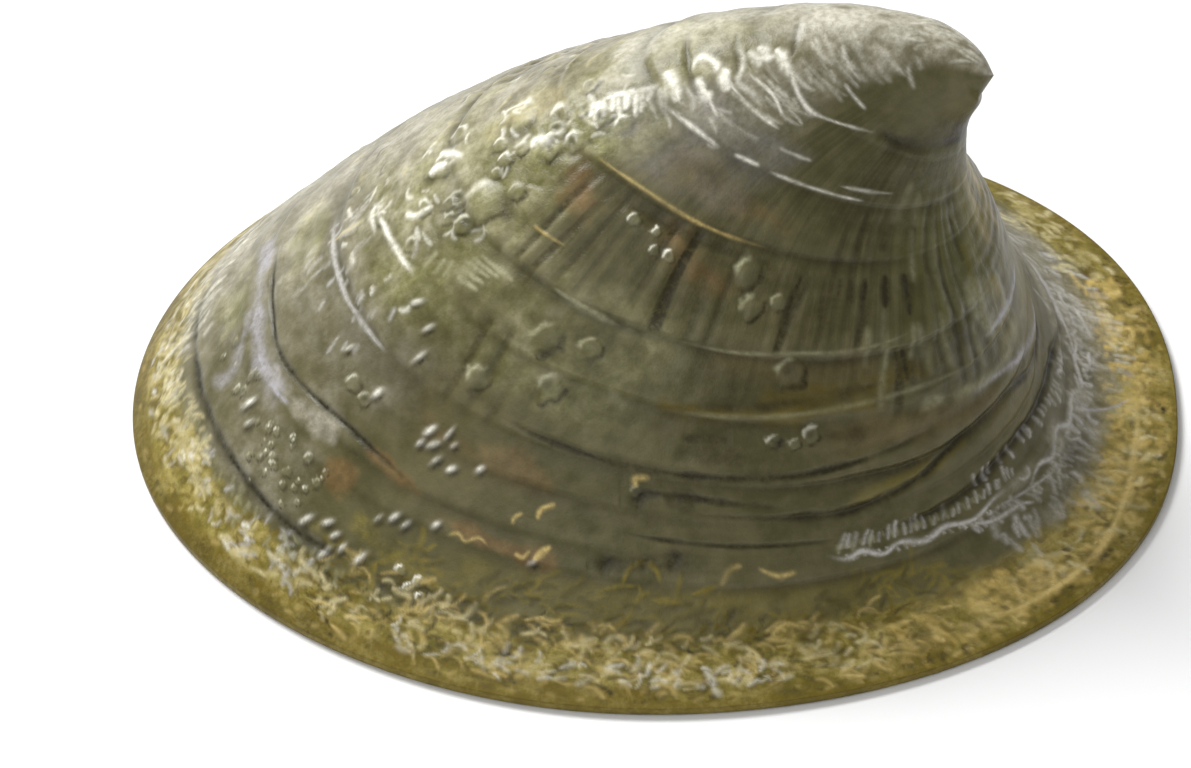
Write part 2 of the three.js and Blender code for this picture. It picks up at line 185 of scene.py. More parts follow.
# Lines on the skin: (age, bearing) points, half width, height, tint and how strong the tint is.
LINES = (
    # front: the two long grooves and the ridges beside them
    (((0.905, 160), (0.888, 180), (0.885, 195), (0.89, 207), (0.9, 222), (0.895, 233)),
     0.036, -0.012, "dark", 0.75),
    (((0.775, 165), (0.775, 184), (0.78, 197), (0.77, 217), (0.785, 233)), 0.028, -0.014, "dark", 0.75),
    (((0.803, 190), (0.805, 198), (0.8, 206)), 0.022, 0.004, "lilac", 1.0),
    (((0.69, 172), (0.685, 193), (0.682, 212)), 0.02, 0.006, "silver", 1.0),
    (((0.69, 179), (0.64, 180)), 0.016, 0.003, "cream", 0.6),
    (((0.625, 178), (0.612, 190), (0.605, 203)), 0.022, 0.006, "pale", 0.85),
    # front: strokes laid side by side below the crest
    (((0.595, 203), (0.568, 202)), 0.02, 0.0039, "sage", 0.9),
    (((0.59, 206), (0.565, 205)), 0.02, 0.0039, "sage", 0.9),
    (((0.583, 208), (0.56, 207)), 0.02, 0.0039, "sage", 0.8),
    (((0.551, 208), (0.544, 217)), 0.02, 0.0044, "sage", 1.0),
    (((0.543, 209), (0.537, 219)), 0.02, 0.0044, "sage", 1.0),
    (((0.534, 210), (0.53, 222)), 0.02, 0.0044, "sage", 0.9),
    (((0.56, 209), (0.553, 217)), 0.02, 0.0044, "sage", 0.9),
    (((0.569, 210), (0.563, 217)), 0.02, 0.0044, "sage", 0.8),
    # crest: furrows near the apex
    (((0.244, 164), (0.244, 186), (0.249, 202), (0.253, 215), (0.249, 226)), 0.03, -0.014, "shade", 0.5),
    (((0.198, 178), (0.205, 199), (0.215, 214)), 0.026, -0.01, "shade", 0.4),
    (((0.146, 178), (0.155, 199), (0.165, 210)), 0.026, -0.01, "shade", 0.35),
    # crest: bright curls, painted glints on its wrinkled skin
    (((0.2, 191), (0.2, 200), (0.206, 207), (0.215, 212), (0.215, 218), (0.21, 229)),
     0.0264, 0.0066, "pale", 1.0),
    (((0.215, 204), (0.225, 210), (0.229, 217)), 0.0408, 0.0077, "pale", 1.0),
    (((0.196, 197), (0.19, 202), (0.193, 210)), 0.03, 0.006, "pale", 1.0),
    (((0.186, 195), (0.182, 201), (0.184, 208)), 0.03, 0.006, "pale", 1.0),
    (((0.173, 200), (0.17, 207), (0.18, 217)), 0.026, 0.006, "pale", 0.9),
    (((0.198, 206), (0.188, 204), (0.176, 206)), 0.028, 0.006, "pale", 0.9),
    (((0.179, 212), (0.169, 206), (0.171, 213), (0.177, 222)), 0.0312, 0.0077, "pale", 1.0),
    (((0.247, 201), (0.239, 194), (0.23, 193), (0.224, 200), (0.23, 207)), 0.0264, 0.0066, "pale", 0.9),
    (((0.244, 202), (0.247, 209), (0.25, 215), (0.24, 212)), 0.036, 0.0077, "pale", 1.0),
    (((0.265, 193), (0.265, 200), (0.266, 204)), 0.036, 0.0066, "pale", 1.0),
    (((0.335, 193), (0.315, 195), (0.294, 198), (0.275, 200)), 0.022, 0.005, "pale", 0.8),
    (((0.547, 182), (0.536, 181), (0.52, 182)), 0.0312, 0.0066, "pale", 1.0),
    (((0.536, 176), (0.52, 178), (0.501, 183)), 0.0288, 0.0066, "pale", 0.8),
    (((0.422, 196), (0.412, 194), (0.402, 196), (0.398, 200)), 0.036, 0.0077, "pale", 0.9),
    (((0.629, 187), (0.63, 180), (0.623, 179), (0.614, 181)), 0.0264, 0.0066, "pale", 0.9),
    (((0.585, 187), (0.574, 190), (0.549, 191)), 0.0264, 0.0066, "pale", 0.9),
    (((0.47, 215), (0.468, 220), (0.465, 226)), 0.014, 0.004, "straw", 0.5),
    # near flank: broken pale lines under the apex
    (((0.37, 211), (0.365, 230), (0.37, 250), (0.372, 270)), 0.013, 0.005, "straw", 0.8),
    (((0.39, 222), (0.388, 250), (0.392, 276)), 0.05, -0.012, "shade", 0.5),
    (((0.285, 208), (0.28, 224), (0.28, 237)), 0.015, 0.005, "pale", 0.9),
    (((0.278, 241), (0.275, 251)), 0.015, 0.0044, "pale", 0.9),
    (((0.276, 254), (0.275, 270), (0.275, 290)), 0.012, 0.0039, "pale", 0.55),
    (((0.19, 196), (0.17, 212), (0.185, 237), (0.185, 248), (0.165, 273)), 0.014, 0.0044, "pale", 0.8),
    (((0.205, 208), (0.2, 226), (0.212, 240)), 0.013, 0.0044, "pale", 0.8),
    (((0.12, 205), (0.125, 225), (0.127, 240)), 0.013, 0.0033, "pale", 0.6),
    (((0.14, 235), (0.147, 258)), 0.012, 0.0033, "pale", 0.6),
    (((0.245, 249), (0.24, 263)), 0.012, 0.0028, "pale", 0.6),
    (((0.26, 277), (0.255, 300)), 0.011, 0.0028, "pale", 0.45),
    (((0.22, 200), (0.225, 225), (0.225, 244)), 0.012, 0.0039, "pale", 0.8),
    (((0.24, 202), (0.255, 226)), 0.013, 0.0039, "pale", 0.8),
    # The groove under the overhanging beak, with painted shade in it
    (((0.16, 268), (0.165, 290), (0.15, 310), (0.13, 335)), 0.07, -0.02, "shade", 0.7),
    # near flank: growth lines lower down
    (((0.51, 229), (0.515, 247)), 0.022, 0.0055, "sage", 0.9),
    (((0.821, 240), (0.812, 241.5), (0.818, 243), (0.808, 244.5), (0.815, 246.5)),
     0.013, 0.0033, "straw", 0.9),
    # near flank: small golden arcs
    (((0.765, 251), (0.75, 250.8), (0.738, 252.5)), 0.018, 0.004, "straw", 1.0),
    (((0.78, 248), (0.769, 247.8), (0.76, 248.6)), 0.015, 0.003, "straw", 0.7),
    (((0.696, 263), (0.684, 262), (0.68, 264.5)), 0.018, 0.004, "straw", 1.0),
    (((0.812, 250), (0.815, 251.5), (0.803, 252)), 0.015, 0.003, "straw", 0.8),
    (((0.816, 253), (0.803, 253.6), (0.791, 254.6)), 0.018, 0.003, "straw", 1.0),
    # near flank: golden strokes among the dark pits
    (((0.841, 266), (0.806, 266), (0.792, 268), (0.804, 270), (0.825, 271)), 0.02, 0.003, "ochre", 1.0),
    (((0.824, 279), (0.8, 280), (0.792, 282)), 0.022, 0.003, "straw", 0.6),
    (((0.797, 284), (0.812, 287), (0.809, 290)), 0.018, 0.003, "straw", 0.6),
    (((0.836, 275), (0.821, 279)), 0.018, 0.003, "ochre", 1.0),
    (((0.845, 262), (0.83, 265), (0.826, 268)), 0.018, 0.003, "ochre", 0.9),
    # near flank: more growth lines
    (((0.51, 256), (0.51, 272), (0.505, 284), (0.505, 296), (0.495, 312)), 0.014, 0.0044, "sage", 0.5),
    (((0.595, 256), (0.59, 276), (0.58, 299), (0.58, 316), (0.595, 335)), 0.02, 0.0044, "sage", 0.35),
    (((0.588, 262), (0.576, 279), (0.562, 294), (0.555, 308)), 0.05, -0.012, "shade", 0.45),
    (((0.625, 266), (0.62, 276)), 0.05, -0.01, "shade", 0.7),
    (((0.665, 233), (0.67, 256), (0.67, 279), (0.665, 294), (0.645, 318)), 0.034, -0.022, "shade", 0.9),
    (((0.7, 262), (0.7, 273), (0.715, 288)), 0.03, -0.016, "shade", 0.75),
    (((0.72, 270), (0.728, 290), (0.73, 299), (0.71, 312), (0.69, 319), (0.67, 333)),
     0.034, -0.02, "shade", 0.9),
    (((0.755, 262), (0.765, 280), (0.77, 297)), 0.02, -0.015, "shade", 0.6),
    # near back: the white zigzag with its branch, and the dark furrow above it
    (((0.79, 294), (0.802, 297), (0.796, 300), (0.809, 303), (0.799, 306), (0.811, 310), (0.803, 314),
      (0.815, 319), (0.805, 325), (0.812, 331)), 0.02, 0.0077, "silver", 1.0),
    (((0.815, 318), (0.835, 322), (0.842, 328), (0.86, 331)), 0.015, 0.005, "silver", 0.9),
    (((0.82, 324), (0.838, 333), (0.85, 338)), 0.015, 0.005, "silver", 0.8),
    (((0.775, 302), (0.77, 318), (0.755, 336), (0.78, 358), (0.84, 374)), 0.036, -0.026, "shade", 0.9),
    (((0.821, 392), (0.836, 383), (0.835, 376), (0.841, 371)), 0.028, 0.007, "silver", 1.0),
    (((0.884, 379), (0.891, 375), (0.9, 371)), 0.024, 0.006, "silver", 1.0),
    (((0.816, 326), (0.834, 331), (0.82, 336), (0.834, 340), (0.818, 345), (0.842, 349), (0.838, 355),
      (0.862, 359), (0.85, 365), (0.86, 369), (0.836, 374), (0.822, 380)), 0.02, 0.006, "silver", 1.0),
    (((0.83, 378), (0.85, 368), (0.855, 360)), 0.015, 0.0044, "silver", 0.9),
    (((0.6, 367), (0.58, 350), (0.57, 333)), 0.028, 0.0044, "lilac", 1.0),
    (((0.722, 372), (0.716, 362), (0.685, 351), (0.645, 337), (0.63, 325)), 0.03, 0.0044, "lilac", 1.0),
    (((0.74, 368), (0.728, 357), (0.698, 344), (0.668, 331)), 0.032, -0.016, "shade", 0.9),
    # veins on the golden rim
    (((0.85, 353), (0.91, 357), (0.945, 361)), 0.014, 0.0044, "lilac", 1.0),
    (((0.955, 305), (0.965, 313), (0.968, 320), (0.97, 326), (0.964, 334), (0.956, 342), (0.95, 350),
      (0.951, 358), (0.957, 366)), 0.028, 0.005, "straw", 1.0),
    (((0.93, 318), (0.95, 317), (0.967, 316)), 0.022, 0.004, "straw", 1.0),
    (((0.939, 324), (0.957, 322), (0.97, 320)), 0.022, 0.004, "straw", 1.0),
    (((0.929, 338), (0.945, 338), (0.96, 338)), 0.022, 0.004, "straw", 1.0),
    (((0.922, 344), (0.94, 345), (0.953, 345)), 0.022, 0.004, "straw", 1.0),
    (((0.93, 358), (0.952, 357)), 0.022, 0.004, "straw", 1.0),
    # far side: growth lines that answer the near ones
    (((0.665, 40), (0.67, 70), (0.668, 104)), 0.026, -0.022, "shade", 0.8),
    (((0.78, 24), (0.775, 66), (0.785, 105), (0.778, 150)), 0.026, -0.022, "shade", 0.9),
    (((0.89, 62), (0.885, 110), (0.89, 160)), 0.03, -0.022, "shade", 0.9),
    (((0.372, 78), (0.366, 96), (0.37, 118)), 0.014, 0.004, "straw", 0.6),
    (((0.366, 122), (0.372, 140)), 0.014, 0.004, "straw", 0.8),
    (((0.276, 62), (0.274, 80)), 0.013, 0.0035, "pale", 0.4),
    (((0.272, 92), (0.278, 112), (0.275, 124)), 0.013, 0.0035, "pale", 0.5),
    (((0.284, 130), (0.28, 146)), 0.013, 0.0035, "pale", 0.5),
    (((0.512, 50), (0.515, 72)), 0.016, 0.004, "sage", 0.5),
    (((0.506, 84), (0.512, 104), (0.508, 124)), 0.016, 0.004, "sage", 0.5),
    (((0.19, 104), (0.184, 126), (0.19, 148)), 0.013, 0.0035, "pale", 0.5),
    (((0.6, 30), (0.592, 58), (0.6, 82)), 0.03, -0.012, "shade", 0.7),
    (((0.725, 92), (0.72, 116), (0.728, 140)), 0.026, -0.014, "shade", 0.7),
)

# Soft stains: (age, bearing) points, half width, tint and strength.
STAINS = (
    # rusty patches
    (((0.395, 215), (0.42, 222)), 0.15, "rust", 0.85),
    (((0.395, 246), (0.415, 254), (0.425, 260)), 0.12, "rust", 0.85),
    (((0.33, 255), (0.335, 268)), 0.1, "rust", 0.45),
    (((0.315, 232), (0.325, 245)), 0.14, "rust", 0.3),
    (((0.72, 229), (0.715, 240), (0.72, 247)), 0.13, "rust", 0.55),
    (((0.805, 238), (0.81, 248), (0.815, 255)), 0.08, "rust", 0.9),
    (((0.815, 222), (0.825, 219)), 0.1, "rust", 0.9),
    (((0.775, 222), (0.787, 233)), 0.05, "rust", 0.8),
    (((0.62, 296), (0.63, 312), (0.66, 330)), 0.14, "rust", 0.3),
    (((0.52, 268), (0.53, 300)), 0.1, "rust", 0.2),
    # olive gold and beige on the slope behind, and the brown band
    (((0.28, 344), (0.4, 347), (0.5, 351)), 0.13, "ochre", 0.75),
    (((0.22, 338), (0.3, 340)), 0.08, "ochre", 0.5),
    (((0.25, 350), (0.32, 354), (0.4, 354), (0.48, 352)), 0.14, "ochre", 1.0),
    (((0.28, 350), (0.36, 352), (0.45, 350)), 0.07, "honey", 0.5),
    (((0.22, 360), (0.3, 366), (0.4, 366), (0.48, 361)), 0.2, "ochre", 1.0),
    (((0.26, 358), (0.34, 362), (0.44, 360)), 0.1, "honey", 0.4),
    (((0.49, 334), (0.535, 335), (0.575, 338), (0.61, 341)), 0.12, "sage", 0.5),
    (((0.636, 342), (0.631, 331), (0.616, 322), (0.606, 314)), 0.06, "sage", 0.5),
    (((0.64, 366), (0.645, 356), (0.625, 347)), 0.09, "sage", 0.5),
    (((0.07, 172), (0.14, 178)), 0.16, "pale", 0.35),
    (((0.59, 262), (0.585, 285), (0.58, 300)), 0.06, "bronze", 0.8),
    (((0.57, 280), (0.56, 300), (0.55, 312)), 0.08, "bronze", 0.6),
    (((0.72, 298), (0.7, 312), (0.69, 322)), 0.06, "ochre", 0.5),
    (((0.86, 342), (0.875, 350)), 0.08, "shade", 0.5),
    # gold that spreads from the rim
    (((0.88, 222), (0.9, 232)), 0.09, "gold", 0.6),
    (((0.86, 228), (0.88, 240)), 0.1, "gold", 0.35),
    # front: green, and the lilac band beside the upper groove
    (((0.83, 168), (0.84, 180)), 0.14, "green", 0.8),
    (((0.74, 166), (0.73, 178)), 0.18, "green", 0.9),
    (((0.795, 166), (0.794, 182), (0.802, 192), (0.797, 202)), 0.1, "lilac", 0.85),
    (((0.805, 182), (0.835, 190), (0.855, 191)), 0.07, "lilac", 0.6),
    (((0.72, 172), (0.745, 175)), 0.16, "moss", 0.45),
    (((0.81, 172), (0.82, 182)), 0.12, "moss", 0.4),
    (((0.797, 197), (0.792, 207), (0.782, 214)), 0.1, "wash", 0.8),
    # brown smudges on the shoulder of the front
    (((0.635, 206), (0.621, 214)), 0.12, "shade", 0.45),
    (((0.588, 216), (0.586, 228)), 0.1, "shade", 0.4),
    (((0.666, 207), (0.66, 214)), 0.1, "shade", 0.4),
    # dark smudges low on the near flank
    (((0.7, 265), (0.706, 271)), 0.07, "shade", 0.55),
    (((0.64, 268), (0.645, 277)), 0.08, "shade", 0.45),
    (((0.618, 293), (0.622, 299)), 0.07, "shade", 0.45),
    (((0.8, 262), (0.795, 272)), 0.08, "shade", 0.4),
    # pale light along the top
    (((0.14, 160), (0.2, 163), (0.3, 166)), 0.2, "pale", 0.3),
    (((0.39, 181), (0.46, 179)), 0.15, "cream", 0.45),
    # far side
    (((0.38, 120), (0.42, 128)), 0.13, "rust", 0.7),
    (((0.7, 100), (0.72, 112)), 0.12, "rust", 0.6),
    (((0.8, 60), (0.78, 75)), 0.09, "rust", 0.7),
    (((0.55, 50), (0.57, 62)), 0.1, "rust", 0.5),
)

# Wide washes of colour, some of them painted shade: ages, bearings, how softly each fades, tint, strength and
# size of its clouds.
WASHES = (
    # greenish crest and the pale film along its far side
    ((0.22, 0.6), (164, 203), 0.1, 16, "green", 1.0, 3),
    ((0.45, 0.6), (205, 218), 0.06, 12, "green", 0.6, 4),
    ((0.5, 0.62), (226, 254), 0.04, 14, "green", 0.45, 4),
    ((0.1, 0.9), (144, 166), 0.06, 28, "wash", 0.8, 2.2),
    ((0.22, 0.6), (160, 186), 0.06, 16, "wash", 0.5, 3),
    ((0.15, 0.26), (170, 226), 0.05, 24, "wash", 0.55, 5),
    # grey above the golden line
    ((0.25, 0.335), (210, 248), 0.03, 12, "lilac", 0.3, 4),
    # front of the shell between the grooves
    ((0.78, 0.9), (166, 196), 0.02, 16, "wash", 0.3, 4),
    ((0.82, 0.9), (196, 216), 0.02, 12, "wash", 0.35, 6),
    ((0.66, 0.77), (176, 214), 0.03, 14, "wash", 0.35, 4),
    # worn apex, and painted shade behind its tip
    ((0.0, 0.14), (318, 400), 0.03, 20, "shade", 1.0, 5),
    ((0.0, 0.13), (130, 222), 0.05, 22, "wash", 0.85, 5),
    # grey flange behind
    ((0.81, 0.92), (332, 400), 0.02, 12, "wash", 0.6, 4),
    # painted shade on the shoulder of the front, on the flank, under the beak and on the slope behind, with
    # olive and ochre on that slope
    ((0.55, 0.8), (196, 232), 0.06, 16, "shade", 0.16, 3),
    ((0.53, 0.7), (206, 224), 0.04, 10, "shade", 0.42, 3),
    ((0.4, 0.78), (285, 345), 0.1, 30, "shade", 0.14, 2.5),
    ((0.12, 0.3), (290, 350), 0.04, 18, "shade", 0.5, 4),
    ((0.39, 0.6), (228, 282), 0.06, 20, "shade", 0.3, 3),
    ((0.17, 0.5), (314, 350), 0.05, 16, "moss", 0.7, 4),
    ((0.4, 0.72), (346, 384), 0.05, 12, "ochre", 0.6, 3),
    ((0.46, 0.74), (348, 384), 0.04, 12, "shade", 0.4, 4),
    # rim: olive above it, straw on it, and along its edge bronze and painted shadow
    ((0.84, 0.9), (240, 304), 0.02, 12, "ochre", 0.4, 5),
    ((0.975, 1.0), (222, 300), 0.012, 16, "bronze", 0.9, 5),
    ((0.968, 1.0), (300, 390), 0.016, 16, "bronze", 0.75, 5),
    ((0.905, 0.955), (312, 376), 0.02, 14, "straw", 0.2, 5),
    ((0.978, 1.0), (20, 222), 0.012, 16, "bronze", 0.95, 5),
    ((0.986, 1.0), (140, 222), 0.008, 12, "shade", 0.35, 5),
)

# Short curling strokes that a random draw places: how many, ages, bearings, lengths, half width, height,
# tint, strength, heading, spread of the heading, and curl. A heading is in degrees from the growth line
# toward the rim.
SCATTERS = (
    # rim, near side: woolly growth
    (420, (0.885, 0.992), (224, 302), (0.06, 0.16), 0.018, -0.002, "bronze", 1.0, -15, 30, 40),
    (180, (0.885, 0.978), (224, 300), (0.12, 0.26), 0.017, 0.003, "straw", 0.65, -18, 24, 50),
    (110, (0.9, 0.974), (232, 296), (0.1, 0.22), 0.017, 0.004, "cream", 0.65, -20, 22, 50),
    (60, (0.942, 0.974), (238, 286), (0.08, 0.18), 0.017, 0.004, "pale", 0.42, -20, 22, 50),
    (230, (0.89, 0.975), (224, 302), (0.1, 0.22), 0.018, -0.003, "shade", 0.65, -20, 20, 35),
    # rim, front: thick creamy dabs with golden brown between them
    (170, (0.93, 0.988), (152, 230), (0.1, 0.22), 0.016, -0.002, "bronze", 0.95, -40, 50, 30),
    (90, (0.93, 0.972), (152, 230), (0.08, 0.2), 0.02, 0.004, "cream", 0.7, -35, 45, 40),
    (70, (0.915, 0.972), (152, 226), (0.08, 0.22), 0.018, 0.004, "silver", 0.7, -45, 40, 40),
    (30, (0.93, 0.968), (152, 226), (0.06, 0.14), 0.018, 0.004, "pale", 0.5, -35, 45, 40),
    (90, (0.905, 0.945), (156, 200), (0.08, 0.2), 0.021, 0.003, "cream", 0.65, -60, 35, 40),
    (90, (0.895, 0.94), (165, 230), (0.06, 0.14), 0.015, 0.003, "sage", 0.65, 75, 20, 20),
    # rim, back: honey and brown strokes across it
    (170, (0.905, 0.972), (298, 385), (0.1, 0.28), 0.032, 0.003, "honey", 1.0, 75, 30, 30),
    (140, (0.925, 0.99), (290, 388), (0.06, 0.16), 0.028, -0.003, "bronze", 1.0, 40, 50, 30),
    (110, (0.935, 0.985), (296, 385), (0.03, 0.1), 0.03, -0.003, "shade", 0.8, 40, 50, 30),
    (110, (0.905, 0.972), (296, 385), (0.08, 0.24), 0.022, 0.003, "straw", 1.0, 60, 50, 50),
    (40, (0.91, 0.965), (318, 380), (0.08, 0.2), 0.024, 0.003, "cream", 0.7, 70, 35, 40),
    (40, (0.9, 0.94), (318, 372), (0.06, 0.12), 0.03, 0.002, "sage", 0.6, 80, 20, 20),
    # rim, far side
    (160, (0.92, 0.985), (25, 155), (0.08, 0.18), 0.024, -0.002, "bronze", 0.8, 20, 45, 30),
    (240, (0.92, 0.982), (25, 155), (0.08, 0.22), 0.024, 0.004, "cream", 0.75, -30, 45, 50),
    # dark spots along the edge of the rim
    (150, (0.976, 0.996), (0, 360), (0.04, 0.12), 0.02, -0.002, "shade", 0.5, 0, 25, 20),
    (110, (0.975, 0.996), (0, 360), (0.04, 0.14), 0.02, -0.002, "straw", 0.4, 0, 25, 20),
    # olive strokes just above the rim
    (180, (0.84, 0.925), (232, 312), (0.12, 0.3), 0.024, 0.002, "ochre", 0.8, -12, 35, 45),
    (90, (0.85, 0.92), (232, 312), (0.1, 0.26), 0.028, -0.003, "shade", 0.5, -12, 30, 30),
    # wrinkles on the crest, the pale ones painted glints
    (50, (0.3, 0.68), (172, 206), (0.08, 0.2), 0.018, 0.004, "pale", 0.55, -30, 55, 50),
    (50, (0.3, 0.66), (172, 210), (0.08, 0.2), 0.03, -0.004, "moss", 0.6, -20, 60, 40),
    (40, (0.14, 0.3), (196, 236), (0.1, 0.26), 0.014, 0.002, "pale", 0.4, 0, 12, 20),
    (50, (0.3, 0.75), (130, 172), (0.1, 0.24), 0.022, 0.004, "cream", 0.5, 20, 40, 40),
    # soft hatching on the apex: along the growth lines, then toward the tip
    (44, (0.07, 0.16), (160, 232), (0.12, 0.3), 0.02, 0.002, "pale", 0.34, 0, 10, 15),
    (40, (0.015, 0.07), (140, 212), (0.1, 0.25), 0.018, 0.002, "pale", 0.4, 85, 12, 12),
    # front: streaks that run down from the crest
    (34, (0.62, 0.72), (172, 206), (0.1, 0.22), 0.02, 0.002, "silver", 0.7, 70, 6, 6),
    (40, (0.85, 0.91), (146, 176), (0.1, 0.28), 0.02, 0.003, "pale", 0.4, 70, 15, 15),
    # near back: white strokes on the flange
    (64, (0.82, 0.905), (322, 394), (0.1, 0.26), 0.024, 0.005, "silver", 0.85, 106, 14, 18),
    (34, (0.8, 0.89), (326, 395), (0.1, 0.24), 0.02, 0.005, "silver", 1.0, 30, 35, 60),
    (26, (0.83, 0.9), (334, 392), (0.08, 0.2), 0.03, -0.004, "shade", 0.55, 95, 20, 20),
    # slope behind: broad dark, pale and golden streaks
    (22, (0.22, 0.5), (294, 352), (0.3, 0.6), 0.045, -0.003, "shade", 0.6, 90, 5, 6),
    (26, (0.22, 0.52), (298, 350), (0.3, 0.6), 0.034, 0.003, "sage", 0.45, 90, 5, 6),
    (26, (0.24, 0.5), (334, 358), (0.15, 0.35), 0.045, 0.002, "ochre", 0.9, 90, 8, 8),
    # far side
    (90, (0.5, 0.9), (30, 140), (0.06, 0.16), 0.018, 0.004, "sage", 0.5, 40, 50, 50),
)

# Radial ribs: how many round the shell, height, ages and bearings that they are strongest at, and how
# dark their furrows are.
RIBS = (
    (62, 0.007, (0.385, 0.5), (216, 300), 0.8),
    (62, 0.005, (0.58, 0.68), (200, 228), 0.6),
    (74, 0.005, (0.3, 0.5), (288, 326), 0.8),
    (74, 0.005, (0.5, 0.6), (285, 335), 0.7),
    (62, 0.005, (0.385, 0.5), (62, 142), 0.8),
    (74, 0.005, (0.25, 0.56), (26, 60), 0.8),
)

# Rows of teeth along a growth line: (age, bearing) points, how many, length, half width, height, tint,
# strength and heading of each tooth.
COMBS = (
    (((0.393, 281), (0.394, 295), (0.396, 312)), 9, 0.48, 0.036, -0.006, "shade", 1.0, 90),
    (((0.508, 306), (0.515, 313), (0.521, 321)), 5, 0.3, 0.036, -0.006, "shade", 1.0, 80),
    (((0.338, 192), (0.3, 197), (0.262, 202)), 14, 0.2, 0.022, 0.005, "pale", 0.95, 33),
    (((0.745, 322), (0.75, 335), (0.765, 345), (0.785, 354), (0.806, 364)),
     22, 0.13, 0.02, 0.006, "silver", 0.8, 90),
    (((0.776, 296), (0.772, 308), (0.782, 322)), 22, 0.09, 0.014, 0.004, "sage", 0.6, 80),
    (((0.77, 300), (0.765, 312), (0.76, 324)), 16, 0.1, 0.016, -0.004, "shade", 0.7, 80),
    (((0.787, 296), (0.795, 312), (0.8, 330)), 26, 0.13, 0.016, 0.004, "silver", 0.75, -70),
    (((0.815, 318), (0.83, 332), (0.85, 344)), 20, 0.16, 0.018, 0.005, "silver", 0.8, 60),
    (((0.925, 384), (0.922, 376), (0.925, 366)), 14, 0.17, 0.02, 0.005, "silver", 0.8, 100),
    (((0.83, 340), (0.845, 352), (0.862, 360), (0.86, 368), (0.84, 375), (0.82, 382)),
     30, 0.12, 0.017, 0.005, "silver", 0.9, 70),
    (((0.795, 297), (0.8, 306), (0.808, 316), (0.82, 326)), 24, 0.07, 0.014, 0.004, "silver", 0.8, 60),
    (((0.88, 346), (0.9, 352), (0.91, 360)), 9, 0.13, 0.022, 0.004, "sage", 0.7, 95),
    (((0.76, 20), (0.765, 50), (0.76, 80)), 34, 0.12, 0.02, 0.005, "silver", 0.5, 90),
)

# The mesh, from the tip to the rim: ages, columns round each ring and rows. The columns double as the rings
# widen, and stand closer on the near side.
ZONES = (
    (0, 0.06, 112, 24), (0.06, 0.14, 224, 40), (0.14, 0.3, 448, 84), (0.3, 0.44, 896, 84),
    (0.44, 0.59, 896, 88), (0.59, 0.785, 896, 92), (0.785, 1, 896, 100),
)
CROWDING = 0.4
CROWDED_BEARING = math.radians(275)

# The pieces that the outside is cut into, each along an old growth line, and the age it ends at.
PIECES = (
    ("shell_apex", 0.3), ("shell_crown", 0.44), ("shell_shoulder", 0.59), ("shell_flank", 0.785),
    ("shell_rim", 1.0),
)

# Underside, in millimetres: the rounded edge as (inset, height), the flat that it rests on, whose rings are
# (share of its width, times that the columns are halved), and the ages and the dome of the hollow.
EDGE = ((0.0, 0.05), (0.005, 0.02), (0.03, 0.0))
# The rounded edge is gold, darkened with bronze that also stands for painted shade
EDGE_TINTS = {"gold": 1.0, "bronze": 0.7}
REST_WIDTH = 0.5
REST_WIDER_BEHIND = 0.3
REST_RINGS = ((0.2, 1), (0.45, 2), (0.75, 2), (0.95, 2), (1.0, 2))
REST_END_HEIGHT = 0.03
HOLLOW_AGES = np.concatenate([np.linspace(0.86, 0.24, 30), [0.215]])
HOLLOW_WAVES = 0.012
DOME = ((0.8, 0.035), (0.55, 0.065), (0.28, 0.085))
DOME_TOP = 0.095

# Picture: pixels of the photograph's frame, pixels to a millimetre, and where the rim's middle falls.
PICTURE = (1191, 768)
PIXELS_PER_MM = 130.5
RIM_MIDDLE_PIXEL = (655, 419)
CAMERA_HEIGHT_DEG = 45
LENS_MM = 400
SENSOR_MM = 36
# The nearest and the farthest that the camera sees, as multiples of its distance
CLIP = (0.1, 20)

# Colours from 0 to 255. The ramps run with a noise, as (where, colour).
GROUND = ((0.3, (63, 60, 30)), (0.45, (84, 80, 48)), (0.55, (97, 92, 61)), (0.7, (112, 104, 70)))
GROUND_BANDS = (70, 66, 30)
DARK_STREAKS = (52, 49, 22)
PALE_STREAKS = (128, 122, 88)
MOSS = ((0.35, (104, 102, 56)), (0.5, (138, 136, 90)), (0.65, (170, 166, 128)))
FILM = ((0.35, (128, 122, 100)), (0.5, (158, 152, 132)), (0.65, (182, 177, 160)))
RUST = ((0.4, (102, 80, 44)), (0.6, (126, 102, 62)))
GILT = (
    (0.3, (72, 64, 16)), (0.42, (104, 94, 30)), (0.5, (126, 114, 46)), (0.58, (146, 132, 66)),
    (0.68, (164, 152, 98)),
)
GILT_SPOTS = (76, 64, 26)
GILT_BRUSH = (176, 160, 100)
# Pale for the highs and dark for the lows of the relief: wear and dirt, and also painted highlight and
# painted shade
RUBBED_AND_HIGHLIT = (200, 192, 158)
DIRT_AND_SHADE = (40, 35, 11)
PORCELAIN = ((0.38, (158, 166, 170)), (0.5, (180, 184, 182)), (0.62, (202, 200, 190)))

# Plain tints in the order that they cover each other: name, colour and the amount that hides what is below.
PAINTS = (
    ("ochre", (126, 112, 42), 1.1), ("honey", (200, 173, 98), 1.1), ("bronze", (100, 84, 10), 1.1),
    ("moss", (92, 92, 40), 1.1), ("shade", (46, 41, 15), 1.0), ("lilac", (161, 158, 161), 1.1),
    ("silver", (184, 181, 174), 1.1), ("sage", (150, 148, 116), 1.1), ("straw", (194, 171, 107), 1.1),
    ("cream", (200, 188, 142), 1.1), ("pale", (244, 241, 226), 1.1), ("dark", (36, 33, 14), 1.0),
)
TINTS = ("green", "wash", "rust", "gold", *(name for name, _, _ in PAINTS), "streak", "inside")
TINT_GRAIN = 0.3

# Gloss: roughness from the smoothest to the roughest spots, and the depth of the grain in millimetres
ROUGHNESS = (0.36, 0.55)
SPECULAR = 0.24
COAT = 0.08
COAT_ROUGHNESS = 0.28
GRAIN_DEPTH = 0.012

